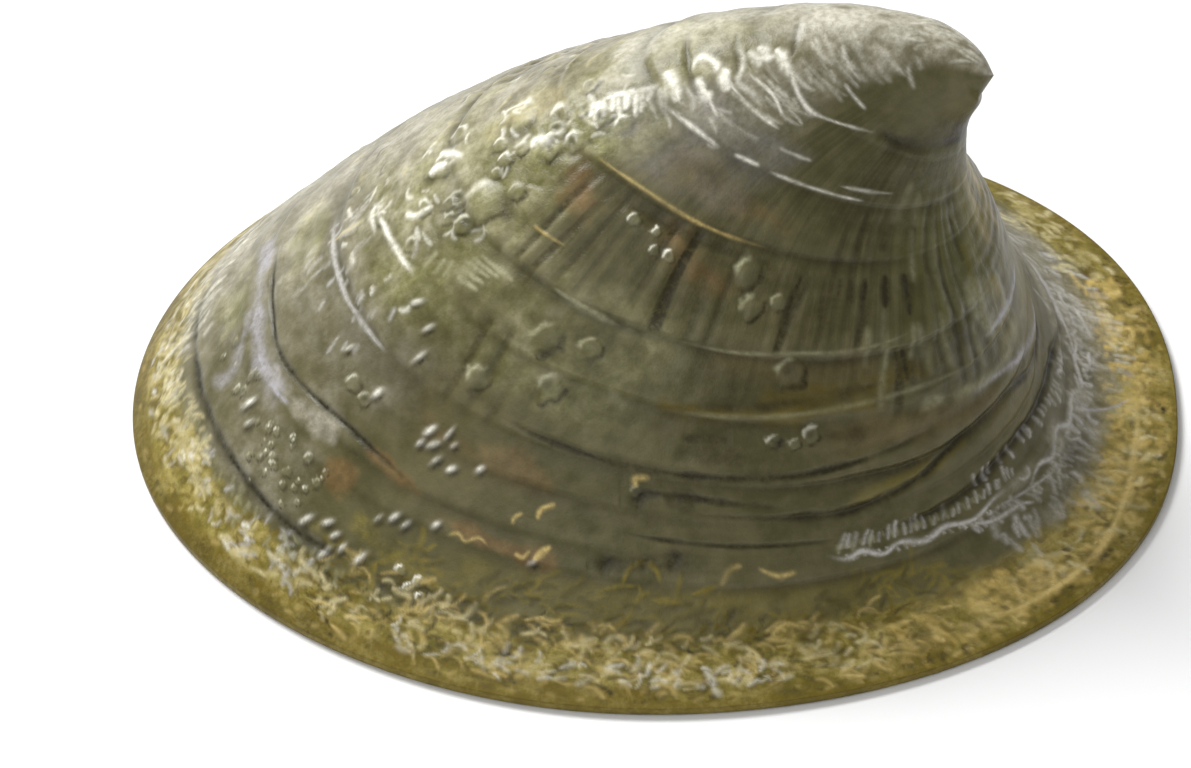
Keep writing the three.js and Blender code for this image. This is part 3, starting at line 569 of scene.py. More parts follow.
# Studio: half the floor in millimetres with its grey and gloss, soft boxes as (name, direction, distance,
# side, watts) and the height that they face, and the strength of the white surroundings.
FLOOR_HALF = 400
FLOOR_GREY = 0.86
FLOOR_ROUGHNESS = 0.9
FLOOR_SPECULAR = 0.1
LIGHTS = (("key", (-0.55, 0.55, 0.9), 70, 32, 0.06), ("fill", (-0.35, -0.85, 0.9), 90, 80, 0.024))
LIGHTS_AIM_HEIGHT = 1.5
SURROUNDINGS = 0.38

# Noises that are added up, each as (height, scale, seed): the sway of the ledges in age, the bounds of washes
# in degrees, the slow unevenness and the crust of the skin in millimetres, the upper edge of the gold in age,
# and the edges of stains in half widths.
LEDGE_SWAY = ((0.006, (1.2, 1.2, 3), 0), (0.003, (5, 5, 4), 1))
WAVER = ((9, 1.3, 23), (5, 4, 24))
SWELL = ((0.022, 0.9, 7), (0.008, 2.4, 8))
CRUST = ((0.005, 6, 9), (0.003, 13, 10))
GOLD_BREAKS = ((0.014, 3.5, 14), (0.008, 11, 15))
STAIN_BREAKS = ((0.8, 5, 12), (0.4, 14, 13))

# The gold starts at this age, and sooner round some bearings: bearing, how much and how narrowly.
GOLD_FROM = 0.94
GOLD_SOONER = ((305, 0.04, 1.5), (182, 0.022, 3))
# Bronze along the very edge of the rim, which also stands for a painted shadow line there
EDGE_SHADOW_BRONZE = 0.8
EDGE_SHADOW_BRONZE_AGES = (0.98, 0.997)

# Fine growth lines: height, and how fast they follow each other
FINE_LINE_HEIGHT = 0.003
FINE_LINE_PHASE = 170

DRAW_SEED = 7433
# Side of the cells that points of the skin are sorted into
CELL = 0.25
LATTICE = np.random.default_rng(11).uniform(-1, 1, (64, 64, 64))
LATTICE_SHIFT = np.array([17.3, 5.1, 9.7])


# Growth form

def stage_slopes():
    """The slope of every measure at each stage, by a parabola through its neighbours."""
    span = np.diff(STAGES[:, :1], axis=0)
    step = np.diff(STAGES, axis=0) / span
    inner = (step[:-1] * span[1:] + step[1:] * span[:-1]) / (span[:-1] + span[1:])
    return np.concatenate([step[:1], inner, step[-1:]])


SLOPES = stage_slopes()


def grown(age):
    """The measures of the shell at each age, as smooth curves through the stages."""
    ages = STAGES[:, 0]
    k = np.clip(np.searchsorted(ages, age, side="right") - 1, 0, len(ages) - 2)
    span = (ages[k + 1] - ages[k])[:, None]
    u = (age - ages[k])[:, None] / span
    blend = u * u * (3 - 2 * u)
    leaving = u * (1 - u) ** 2 * span * SLOPES[k]
    arriving = u * u * (1 - u) * span * SLOPES[k + 1]
    return (STAGES[k] + (STAGES[k + 1] - STAGES[k]) * blend + leaving - arriving).T


def bulge(age, bearing):
    """How far a ring bulges past its ellipse."""
    share = np.clip((age - FULLNESS_FROM_AGE) / (1 - FULLNESS_FROM_AGE), 0, 1)
    power = 2 + share * (FULLNESS + FULLNESS_SWING * np.cos(bearing - FULLEST_BEARING))
    total = np.abs(np.cos(bearing)) ** power + np.abs(np.sin(bearing)) ** power
    return total ** (-1 / power)


def skin_place(age, bearing):
    """Points of the smooth outer skin, in millimetres."""
    reach = bulge(age, bearing)
    along = (1 + reach * np.cos(bearing)) / 2
    _, front_x, front_z, back_x, back_z, half_width, lean = grown(age)
    x = front_x * (1 - along) + back_x * along
    z = front_z * (1 - along) + back_z * along
    y = lean + half_width * reach * np.sin(bearing)
    return np.stack([x, y, z], axis=-1)


def skin_steps(age, bearing, nudge=0.002):
    """How the skin moves for each unit of age and of bearing."""
    older = np.minimum(age + nudge, 1)
    younger = np.maximum(age - nudge, nudge / 2)
    down = (skin_place(older, bearing) - skin_place(younger, bearing)) / (older - younger)[..., None]
    around = (skin_place(age, bearing + nudge) - skin_place(age, bearing - nudge)) / (2 * nudge)
    return down, around


def skin_normal(age, bearing):
    """The outward direction of the smooth skin."""
    down, around = skin_steps(age, bearing)
    normal = np.cross(down, around)
    return normal / np.linalg.norm(normal, axis=-1, keepdims=True)


def growth_space(age, bearing):
    """Coordinates that follow the growth: two for the bearing and one for the age."""
    return np.stack([np.cos(bearing), np.sin(bearing), age], axis=1)


def smooth(low, high, x):
    """0 below low, 1 above high and a smooth rise between; high may lie below low."""
    u = np.clip((x - low) / (high - low), 0, 1)
    return u * u * (3 - 2 * u)


def wander(points, scale, seed=0):
    """Smooth noise from -1 to 1, with lumps about 1 / scale across. A scale is for all axes or for each."""
    moved = points * scale + LATTICE_SHIFT * (seed + 1)
    base = np.floor(moved).astype(int)
    share = moved - base
    share = share * share * (3 - 2 * share)
    total = np.zeros(len(points))
    for corner in np.ndindex(2, 2, 2):
        weight = np.where(corner, share, 1 - share).prod(axis=1)
        i, j, k = ((base + corner) % len(LATTICE)).T
        total += weight * LATTICE[i, j, k]
    return total


def layered(points, layers):
    """Several noises added up."""
    return sum(height * wander(points, scale, seed) for height, scale, seed in layers)


def curve(path, steps):
    """Points of a smooth curve through the corners of a path; the steps count corners from 0."""
    corners = np.array(path, float)
    last = len(corners) - 1
    k = np.clip(steps.astype(int), 0, last - 1)
    u = (steps - k)[:, None]
    start, end = corners[k], corners[k + 1]
    leaving = (end - corners[np.maximum(k - 1, 0)]) / 2
    arriving = (corners[np.minimum(k + 2, last)] - start) / 2
    blend = u * u * (3 - 2 * u)
    return start + (end - start) * blend + u * (1 - u) ** 2 * leaving - u * u * (1 - u) * arriving


class Skin:
    """The points of the outer skin, row by row from the tip, with the relief and the tints laid on it."""

    def __init__(self, age, bearing):
        self.age = age
        self.bearing = bearing
        self.place = skin_place(age, bearing)
        self.normal = skin_normal(np.maximum(age, NORMALS_FROM_AGE), bearing)
        self.growth = growth_space(age, bearing)
        self.waver = layered(self.place, WAVER)
        self.lift = np.zeros(len(age))
        self.proud = np.zeros(len(age))
        self.stroke = np.zeros(len(age))
        self.tint = {name: np.zeros(len(age)) for name in TINTS}
        cells, cell = np.unique(np.floor(self.place / CELL).astype(int), axis=0, return_inverse=True)
        order = np.argsort(cell.ravel(), kind="stable")
        ends = np.cumsum(np.bincount(cell.ravel()))
        self.cells = dict(zip(map(tuple, cells.tolist()), np.split(order, ends[:-1])))

    def raise_by(self, height, where=slice(None)):
        """Relief whose lows are later darkened, as dirt and painted shade, and whose highs are rubbed pale,
        as wear and painted highlight.
        """
        self.lift[where] += height
        self.proud[where] += height

    def paint(self, name, amount, where=slice(None)):
        """Lays on a tint. Where marks of one tint overlap, the stronger stays."""
        self.tint[name][where] = np.maximum(self.tint[name][where], amount)

    def within(self, ages, bearings, soft_age=0.02, soft_bearing=12):
        """1 between these ages and bearings, fading unevenly outside them. Bearings are in degrees."""
        middle = math.radians(sum(bearings) / 2)
        half = (bearings[1] - bearings[0]) / 2
        off = np.degrees(np.abs((self.bearing - middle + math.pi) % (2 * math.pi) - math.pi)) + self.waver
        by_age = smooth(ages[0] - soft_age, ages[0], self.age) * smooth(ages[1] + soft_age, ages[1], self.age)
        return by_age * smooth(half + soft_bearing, half, off)

    def part(self, *limits):
        """The numbers of the points within limits, and how far within they are."""
        amount = self.within(*limits)
        where = np.flatnonzero(amount)
        return where, amount[where]

    def near(self, low, high):
        """The numbers of the points in a box."""
        first, last = (np.floor(corner / CELL).astype(int) for corner in (low, high))
        wanted = itertools.product(*(range(a, b + 1) for a, b in zip(first.tolist(), last.tolist())))
        numbers = np.concatenate([self.cells[cell] for cell in wanted if cell in self.cells])
        place = self.place[numbers]
        return numbers[((place > low) & (place < high)).all(axis=1)]

    def beside(self, path, reach):
        """The points within reach of a path of (age, bearing), how far off they lie and how far along."""
        legs = len(path) - 1
        ages, bearings = curve(path, np.linspace(0, legs, 6 * legs + 1)).T
        line = skin_place(np.clip(ages, *PATH_AGES), np.radians(bearings))
        near = self.near(line.min(axis=0) - reach, line.max(axis=0) + reach)
        leg = np.diff(line, axis=0)
        away = self.place[near, None] - line[:-1]
        share = np.clip((away * leg).sum(axis=2) / (leg ** 2).sum(axis=1), 0, 1)
        gap = np.linalg.norm(away - share[..., None] * leg, axis=2)
        best = gap.argmin(axis=1)
        rows = np.arange(len(near))
        return near, gap[rows, best], (best + share[rows, best]) / len(leg)


# Relief and markings

def swell(skin):
    """The slow unevenness of a shell that grew, and a fine crust."""
    fade = smooth(1.0, 0.85, skin.age) * smooth(0.0, 0.2, skin.age)
    skin.lift += fade * layered(skin.place, SWELL)
    crust = layered(skin.place, CRUST)
    skin.raise_by(crust * smooth(1.0, 0.97, skin.age) * smooth(0.0, 0.1, skin.age))


def grow_ledges(skin):
    """Old rims: each lip rises slowly, drops sharply and leaves a shallow groove after it."""
    sway = layered(skin.growth, LEDGE_SWAY)
    for age, lip, bearings in LEDGES:
        past = skin.age + sway - age
        rise = np.clip(1 + past / LIP_RISE, 0, 1) ** 2 * (past < 0)
        drop = np.clip(1 - past / LIP_DROP, 0, 1) * (past >= 0)
        groove = np.exp(-((past - LIP_DROP) / GROOVE_LENGTH) ** 2)
        strongest = skin.within((0, 1), bearings, 0.02, 30)
        strength = LEDGE_ELSEWHERE + (1 - LEDGE_ELSEWHERE) * strongest
        strength = strength * np.clip(0.8 + 0.6 * wander(skin.growth, (1.6, 1.6, 20), 2), 0.2, 1.3)
        skin.raise_by(lip * strength * (rise + drop - GROOVE_SHARE * groove))
        skin.paint("shade", GROOVE_SHADE * groove * strength * lip / GROOVE_SHADE_LIP)


def grow_lines(skin):
    """Fine growth lines."""
    sway = skin.age * FINE_LINE_PHASE + 3 * wander(skin.growth, (2, 2, 6), 3)
    fade = smooth(0.1, 0.4, skin.age) * smooth(1.0, 0.96, skin.age)
    strength = FINE_LINE_HEIGHT * (0.5 + np.clip(wander(skin.growth, (3, 3, 9), 4), -0.5, 1))
    skin.raise_by(strength * fade * np.sin(sway))


def grow_ribs(skin):
    """Radial ribs, by bands of age and bearing. Their furrows are dark."""
    for count, height, ages, bearings, darkness in RIBS:
        where, amount = skin.part(ages, bearings)
        growth = skin.growth[where]
        patchy = amount * np.clip(0.65 + 0.8 * wander(growth, (6, 6, 8), count), 0.05, 1.1)
        patchy *= np.clip(0.8 + 0.7 * wander(growth, (count / 6, count / 6, 3), 6), 0.15, 1.15)
        wave = np.cos(count * skin.bearing[where] + 3.5 * wander(growth, (4, 4, 7), 5))
        skin.raise_by(height * patchy * wave, where)
        skin.paint("shade", darkness * patchy * smooth(0.1, -0.9, wave), where)
    flank = skin.within((0.2, 0.52), (205, 340), 0.1, 20) + skin.within((0.2, 0.52), (20, 150), 0.1, 20)
    skin.paint("streak", np.clip(flank, 0, 1))


def scattered_lumps(draw):
    """Lumps at random places."""
    for count, ages, bearings, radii, sunken, paleness in LUMP_SCATTERS:
        for _ in range(count):
            where = draw.uniform(*ages), draw.uniform(*bearings), draw.uniform(*radii)
            yield *where, draw.random() < sunken, paleness * draw.uniform(0.5, 1)


def grow_lump(skin, age, degrees, radius, sunken, paleness, seed):
    """A low dome, sunken in the middle on some, with a painted highlight along its upper edge, painted shadow
    under it and painted shade in its sunken middle.
    """
    at = np.array([age]), np.radians([degrees])
    middle = skin_place(*at)[0]
    normal = skin_normal(*at)[0]
    near = skin.near(middle - LUMP_REACH * radius, middle + LUMP_REACH * radius)
    away = (skin.place[near] - middle) / radius
    off = np.linalg.norm(away, axis=1) * (1 + 0.3 * wander(away, 1.3, seed) + 0.15 * wander(away, 2.6, seed))
    dome = np.clip(1 - off ** 2, 0, 1) ** 1.4
    pit = np.exp(-(off / 0.42) ** 2)
    skin.lift[near] += radius * LUMP_HEIGHT * (dome - 0.8 * pit if sunken else dome)
    toward_light = LIT_FROM - normal * (LIT_FROM @ normal)
    side = away @ toward_light / np.linalg.norm(toward_light)
    # Painted highlight on the edge toward the light
    painted_highlight = smooth(0.15, 0.7, side) * np.exp(-((off - 0.7) / 0.2) ** 2)
    skin.paint("sage", np.maximum(0.35 * paleness * smooth(0.1, 0.7, dome), 0.9 * painted_highlight), near)
    skin.paint("pale", smooth(0.3, 1.0, paleness) * painted_highlight, near)
    # Painted shadow on the side away from the light
    under = smooth(0.1, -0.8, side) * np.exp(-((off - 0.95) / 0.3) ** 2)
    skin.paint("shade", (0.95 - 0.4 * paleness) * under, near)
    # Painted shade in the sunken middle
    if sunken:
        skin.paint("dark", 0.55 * pit * smooth(-0.8, 0.4, side), near)


def grow_pit(skin, age, degrees, radius):
    """A small dark hollow."""
    middle = skin_place(np.array([age]), np.radians([degrees]))[0]
    near = skin.near(middle - PIT_REACH * radius, middle + PIT_REACH * radius)
    away = (skin.place[near] - middle) / radius
    hollow = np.exp(-(np.linalg.norm(away, axis=1) * (1 + 0.4 * wander(away, 1.2))) ** 2)
    skin.lift[near] -= 0.3 * radius * hollow
    skin.paint("dark", 0.75 * hollow, near)


def grow_dashes(skin, draw):
    """Short beads across the growth lines, each a soft dab with a painted glint on top and a painted shadow
    below.
    """
    ages, bearings = np.array(DASHES).T
    count = len(DASHES)
    middles = skin_place(ages, np.radians(bearings))
    reach = draw.uniform(*DASH_LENGTHS, count) / 2
    headings = DASH_HEADING + draw.normal(size=count) * DASH_HEADING_SPREAD
    ends = stroke_place(ages, bearings, headings, reach)
    below = stroke_place(ages, bearings, DASH_SHADE_HEADING, DASH_SHADE_OFFSET)
    strengths = draw.uniform(0.4, 0.95, count)
    for middle, end, foot, half, strength in zip(middles, ends, below, reach, strengths):
        near = skin.near(middle - DASH_REACH * half, middle + DASH_REACH * half)
        place = skin.place[near]
        axis = (end - middle) / half
        rough = 1 + 0.35 * wander(place, 14, 22)
        half_width = DASH_HALF_WIDTH * (0.5 + 0.6 * strength)
        # The dab is the bead's relief and its painted glint; dark is its painted shadow
        dab = np.exp(-dab_distance(place - middle, axis, half, half_width) * rough)
        dark = np.exp(-0.4 * dab_distance(place - foot, axis, half, DASH_HALF_WIDTH) * rough)
        skin.lift[near] += DASH_HEIGHT * dab
        skin.paint("shade", 0.9 * dark, near)
        skin.paint("pale", strength * dab, near)


def dab_distance(away, axis, half, half_width):
    """How far points lie from the middle of a dab, squared and measured in its own half length and width."""
    along = away @ axis
    across = np.linalg.norm(away - along[:, None] * axis, axis=1)
    return (along / half) ** 2 + (across / half_width) ** 2


def stroke_end(age, degrees, heading, reach):
    """The (age, bearing) that lies a distance off along a heading, measured from the growth line."""
    down, around = skin_steps(age, np.radians(degrees))
    angle = np.radians(heading)
    further = age + reach * np.sin(angle) / np.linalg.norm(down, axis=1)
    turned = reach * np.cos(angle) / np.linalg.norm(around, axis=1)
    return np.clip(further, *STROKE_AGES), degrees + np.degrees(turned)


def stroke_place(age, degrees, heading, reach):
    """The point of the skin that lies a distance off along a heading."""
    further, turned = stroke_end(age, degrees, heading, reach)
    return skin_place(further, np.radians(turned))


def draw_line(skin, path, half_width, height, tint, strength):
    """A ridge or groove along a path, thinning at its ends, with its colour. A ridge lays painted shade at
    its foot.
    """
    near, gap, along = skin.beside(path, LINE_REACH * half_width)
    ragged = (0.65 + 0.5 * np.sin(math.pi * along)) * (1 + 0.4 * wander(skin.place[near], 9, 11))
    patchy = np.clip(1.0 + 0.6 * wander(skin.place[near], 5, 21), 0.4, 1.2)
    taper = smooth(0, 0.22, along) * smooth(1, 0.78, along) * patchy
    across = gap / half_width / ragged
    mark = np.exp(-across ** 2) * taper
    skin.paint(tint, strength * mark, near)
    if height > 0:
        skin.stroke[near] = np.maximum(skin.stroke[near], height * mark)
        skin.paint("shade", FOOT_SHADE * strength * taper * np.exp(-((across - 2) / 0.7) ** 2), near)
    else:
        skin.raise_by(height * mark, near)


def stain(skin, path, half_width, tint, strength):
    """A soft stain along a path, with a broken edge."""
    near, gap, _ = skin.beside(path, STAIN_REACH * half_width)
    broken = gap / half_width + layered(skin.place[near], STAIN_BREAKS)
    skin.paint(tint, strength * smooth(1.5, 0.0, broken), near)


def scatter(skin, draw, count, ages, bearings, lengths, half_width, height, tint, strength,
            heading, spread, curl):
    """Short curling strokes, placed at random between these ages and bearings."""
    corners = [(draw.uniform(*ages, count), draw.uniform(*bearings, count))]
    length = draw.uniform(*lengths, count)
    turn = heading + draw.normal(size=count) * spread
    bend = draw.uniform(-curl, curl, count)
    for k in range(3):
        corners.append(stroke_end(*corners[-1], turn + bend * k, length / 3))
    sizes = draw.uniform(0.7, 1.2, count)
    strengths = strength * draw.uniform(0.5, 1, count)
    for path, size, share in zip(np.array(corners).transpose(2, 0, 1), sizes, strengths):
        draw_line(skin, path, half_width * size, height * size, tint, share)


def grow_comb(skin, draw, path, count, length, half_width, height, tint, strength, heading):
    """A row of teeth along a path."""
    steps = np.linspace(0, len(path) - 1, count) + draw.normal(size=count) * 0.25 * (len(path) - 1) / count
    roots = curve(path, np.clip(steps, 0, len(path) - 1)).T
    lengths = length * draw.uniform(0.6, 1.2, count)
    ends = stroke_end(*roots, heading + draw.normal(size=count) * 7, lengths)
    strengths = strength * draw.uniform(0.4, 1, count)
    for tooth, share in zip(np.array([roots, ends]).transpose(2, 0, 1), strengths):
        draw_line(skin, tooth, half_width, height, tint, share)


def colour_zones(skin):
    """The golden rim with its bronze edge, which also stands for a painted shadow line, and the wide washes
    of colour, some of them painted shade.
    """
    edge = GOLD_FROM
    for bearing, sooner, narrow in GOLD_SOONER:
        edge = edge - sooner * np.clip(np.cos(skin.bearing - math.radians(bearing)), 0, 1) ** narrow
    broken = layered(skin.place, GOLD_BREAKS)
    skin.paint("gold", smooth(-0.02, 0.02, skin.age + broken - edge))
    skin.paint("bronze", EDGE_SHADOW_BRONZE * smooth(*EDGE_SHADOW_BRONZE_AGES, skin.age))
    for seed, (ages, bearings, soft_age, soft_bearing, tint, strength, clouds) in enumerate(WASHES):
        where, amount = skin.part(ages, bearings, soft_age, soft_bearing)
        place = skin.place[where]
        cloudy = 0.7 + 0.5 * wander(place, clouds, 30 + seed) + 0.2 * wander(place, 3 * clouds, 60 + seed)
        skin.paint(tint, strength * amount * np.clip(cloudy, 0, 1), where)


def dress(skin):
    """All relief and markings, in an order that keeps the random draws the same on each run."""
    draw = np.random.default_rng(DRAW_SEED)
    swell(skin)
    grow_ledges(skin)
    grow_lines(skin)
    grow_ribs(skin)
    colour_zones(skin)
    for seed, lump in enumerate([*LUMPS, *scattered_lumps(draw)]):
        grow_lump(skin, *lump, seed)
    grow_dashes(skin, draw)
    for pit in PITS:
        grow_pit(skin, *pit)
    for line in LINES:
        draw_line(skin, *line)
    for mark in STAINS:
        stain(skin, *mark)
    for comb in COMBS:
        grow_comb(skin, draw, *comb)
    for strokes in SCATTERS:
        scatter(skin, draw, *strokes)
    skin.lift += skin.stroke


# Mesh

def column_bearings(columns):
    """Bearings round a ring, closer together on the near side."""
    turn = np.arange(columns) / columns * 2 * math.pi
    return turn - CROWDING * np.sin(turn - CROWDED_BEARING)


def outer_rows():
    """Ages and column counts of the outer rows, from the tip to the rim."""
    rows = []
    for start, end, columns, count in ZONES:
        rows += [(age, columns) for age in np.linspace(start, end, count, endpoint=False)]
    return rows[1:] + [(1.0, ZONES[-1][2])]


def join_rows(first, second):
    """Triangles between two rows of point numbers, where the second has as many, half or twice as many."""
    if len(first) == len(second):
        after, below = np.roll(first, -1), np.roll(second, -1)
        return np.concatenate([np.stack([first, second, below], 1), np.stack([first, below, after], 1)])
    widening = len(second) > len(first)
    coarse, fine = (first, second) if widening else (second, first)
    after, left, middle = np.roll(coarse, -1), fine[0::2], fine[1::2]
    right = np.roll(left, -1)
    made = np.concatenate([np.stack(corners, 1) for corners in (
        (coarse, left, middle), (coarse, middle, after), (after, middle, right),
    )])
    return made if widening else made[:, ::-1]


class Cap:
    """The points of the closed shell as it is put together, with their tints."""

    def __init__(self):
        self.places = []
        self.growth = []
        self.proud = []
        self.tints = {name: [] for name in TINTS}
        self.count = 0

    def add(self, places, growth, tints, proud=None):
        """Adds points and returns their numbers."""
        size = len(places)
        self.places.append(places)
        self.growth.append(growth)
        self.proud.append(np.zeros(size) if proud is None else proud)
        for name in TINTS:
            self.tints[name].append(np.broadcast_to(tints.get(name, 0.0), size))
        self.count += size
        return np.arange(self.count - size, self.count)

    def gather(self):
        """Joins what was added into whole arrays."""
        self.places = np.concatenate(self.places)
        self.growth = np.concatenate(self.growth)
        self.proud = np.concatenate(self.proud)
        self.tints = {name: np.concatenate(layer) for name, layer in self.tints.items()}


def ground_ring(bearing, inset, height):
    """A ring near the ground, drawn in from the rim."""
    reach = bulge(np.ones(len(bearing)), bearing)
    x = (LENGTH / 2 - inset) * reach * np.cos(bearing)
    y = (WIDTH / 2 - inset) * reach * np.sin(bearing)
    return np.stack([x, y, np.full(len(bearing), height)], axis=1)


def add_outside(cap):
    """The outer skin and the rounded edge of the rim. Returns rows of point numbers with their ages."""
    rows = outer_rows()
    bearings = [column_bearings(columns) for _, columns in rows]
    ages = [np.full(columns, age) for age, columns in rows]
    skin = Skin(np.concatenate(ages), np.concatenate(bearings))
    dress(skin)
    # The relief dies out at the edge of the rim and at the tip.
    keep = smooth(1.0, 0.98, skin.age) * smooth(0.0, 0.03, skin.age)
    places = skin.place + skin.normal * (skin.lift * keep)[:, None]
    numbers = cap.add(places, skin.growth, skin.tint, skin.proud * keep)
    ends = np.cumsum([columns for _, columns in rows])
    split = [(age, numbers[end - columns:end]) for end, (age, columns) in zip(ends, rows)]
    bearing = bearings[-1]
    for inset, height in EDGE:
        ring = ground_ring(bearing, inset, height)
        split.append((1.0, cap.add(ring, growth_space(ages[-1], bearing), EDGE_TINTS)))
    return split


def add_underside(cap):
    """The flat that the rim rests on and the hollow. Returns rows of point numbers, the last at the top."""
    rows = []
    columns = ZONES[-1][2]
    for share, halvings in REST_RINGS:
        bearing = column_bearings(columns // 2 ** halvings)
        inset = share * (REST_WIDTH + REST_WIDER_BEHIND * np.cos(bearing))
        height = REST_END_HEIGHT if share == 1 else 0.0
        inside = smooth(0.1, 0.9, share)
        ring = ground_ring(bearing, inset, height)
        growth = growth_space(np.ones(len(bearing)), bearing)
        rows.append(cap.add(ring, growth, {"gold": 1 - inside, "inside": inside}))
    for age in HOLLOW_AGES:
        ages = np.full(len(bearing), age)
        growth = growth_space(ages, bearing)
        wall = WALL + HOLLOW_WAVES * wander(growth, (1.5, 1.5, 18), 20)
        ring = skin_place(ages, bearing) - skin_normal(ages, bearing) * wall[:, None]
        rows.append(cap.add(ring, growth, {"inside": 1.0}))
    middle = ring.mean(axis=0)
    back = ring[np.abs(bearing).argmin()] - middle
    up = np.array([-back[2], 0, back[0]]) / math.hypot(back[0], back[2])
    for share, rise in DOME:
        rows.append(cap.add(middle + (ring - middle) * share + up * rise, growth, {"inside": 1.0}))
    top = (middle + up * DOME_TOP)[None]
    rows.append(cap.add(top, growth[:1], {"inside": 1.0}))
    return rows


def point_normals(places, triangles):
    """Normals for smooth shading, taken over the whole shell so that they agree where pieces meet."""
    a, b, c = (places[triangles[:, k]] for k in range(3))
    facing = np.cross(b - a, c - a)
    normals = np.zeros_like(places)
    for k in range(3):
        np.add.at(normals, triangles[:, k], facing)
    return normals / np.linalg.norm(normals, axis=1, keepdims=True)


def make_piece(name, cap, normals, triangles):
    """One mesh object from some of the shell's triangles."""
    used, corners = np.unique(triangles, return_inverse=True)
    mesh = bpy.data.meshes.new(name)
    mesh.from_pydata(cap.places[used] * MM, [], corners.reshape(-1, 3).tolist())
    mesh.polygons.foreach_set("use_smooth", [True] * len(mesh.polygons))
    layer = mesh.attributes.new("growth", "FLOAT_VECTOR", "POINT")
    layer.data.foreach_set("vector", cap.growth[used].astype(np.float32).ravel())
    for tint, amount in [*cap.tints.items(), ("proud", cap.proud)]:
        layer = mesh.attributes.new(tint, "FLOAT", "POINT")
        layer.data.foreach_set("value", amount[used].astype(np.float32))
    mesh.normals_split_custom_set_from_vertices(normals[used])
    piece = bpy.data.objects.new(name, mesh)
    bpy.context.collection.objects.link(piece)
    return piece


def make_shell():
    """The closed shell, as pieces that meet along growth lines."""
    cap = Cap()
    tip = cap.add(skin_place(np.zeros(1), np.zeros(1)), np.array([[1, 0, 0]]), {"wash": 0.6})[0]
    outside = add_outside(cap)
    underside = add_underside(cap)
    cap.gather()

    first = outside[0][1]
    sets = {name: [] for name, _ in PIECES}
    sets["shell_apex"].append(np.stack([np.full(len(first), tip), first, np.roll(first, -1)], 1))
    for (age, row), (_, next_row) in zip(outside, outside[1:]):
        name = next((name for name, end in PIECES if age < end), PIECES[-1][0])
        sets[name].append(join_rows(row, next_row))
    rows = [outside[-1][1]] + underside[:-1]
    sets["shell_inside"] = [join_rows(a, b) for a, b in zip(rows, rows[1:])]
    last = rows[-1]
    sets["shell_inside"].append(np.stack([last, np.full(len(last), underside[-1][0]), np.roll(last, -1)], 1))

    sets = {name: np.concatenate(parts) for name, parts in sets.items()}
    normals = point_normals(cap.places, np.concatenate(list(sets.values())))
    return [make_piece(name, cap, normals, triangles) for name, triangles in sets.items()]


# Material

def linear(red, green, blue):
    """A colour for a shader from its usual 0 to 255 values."""
    parts = [c / 255 for c in (red, green, blue)]
    return tuple(c / 12.92 if c <= 0.04045 else ((c + 0.055) / 1.055) ** 2.4 for c in parts) + (1.0,)


class Nodes:
    """Short forms for the shader nodes of a material."""

    def __init__(self, material):
        material.use_nodes = True
        self.tree = material.node_tree
        self.shader = self.tree.nodes["Principled BSDF"]

    def feed(self, node, inputs):
        """Links or sets the inputs of a node."""
        for key, value in inputs.items():
            if isinstance(value, bpy.types.NodeSocket):
                self.tree.links.new(value, node.inputs[key])
            else:
                node.inputs[key].default_value = value

    def add(self, kind, inputs, **settings):
        node = self.tree.nodes.new("ShaderNode" + kind)
        for name, value in settings.items():
            setattr(node, name, value)
        self.feed(node, inputs)
        return node

    def attribute(self, name, output="Fac"):
        return self.add("Attribute", {}, attribute_name=name).outputs[output]

    def noise(self, vector, scale, detail=3, rough=0.55):
        inputs = {"Vector": vector, "Scale": scale, "Detail": detail, "Roughness": rough}
        return self.add("TexNoise", inputs).outputs["Fac"]

    def stretch(self, vector, scale):
        return self.add("Mapping", {"Vector": vector, "Scale": scale}).outputs["Vector"]

    def math(self, operation, a, b=0.0):
        return self.add("Math", {0: a, 1: b}, operation=operation).outputs[0]

    def spread(self, value, low, high, to_low=0.0, to_high=1.0):
        inputs = {"Value": value, "From Min": low, "From Max": high, "To Min": to_low, "To Max": to_high}
        return self.add("MapRange", inputs, clamp=True).outputs["Result"]

    def mix(self, factor, a, b):
        return self.add("Mix", {0: factor, 6: a, 7: b}, data_type="RGBA").outputs[2]

    def ramp(self, factor, stops):
        node = self.add("ValToRGB", {"Fac": factor})
        elements = node.color_ramp.elements
        while len(elements) < len(stops):
            elements.new(0.5)
        for element, (position, colour) in zip(elements, stops):
            element.position = position
            element.color = linear(*colour)
        return node.outputs["Color"]


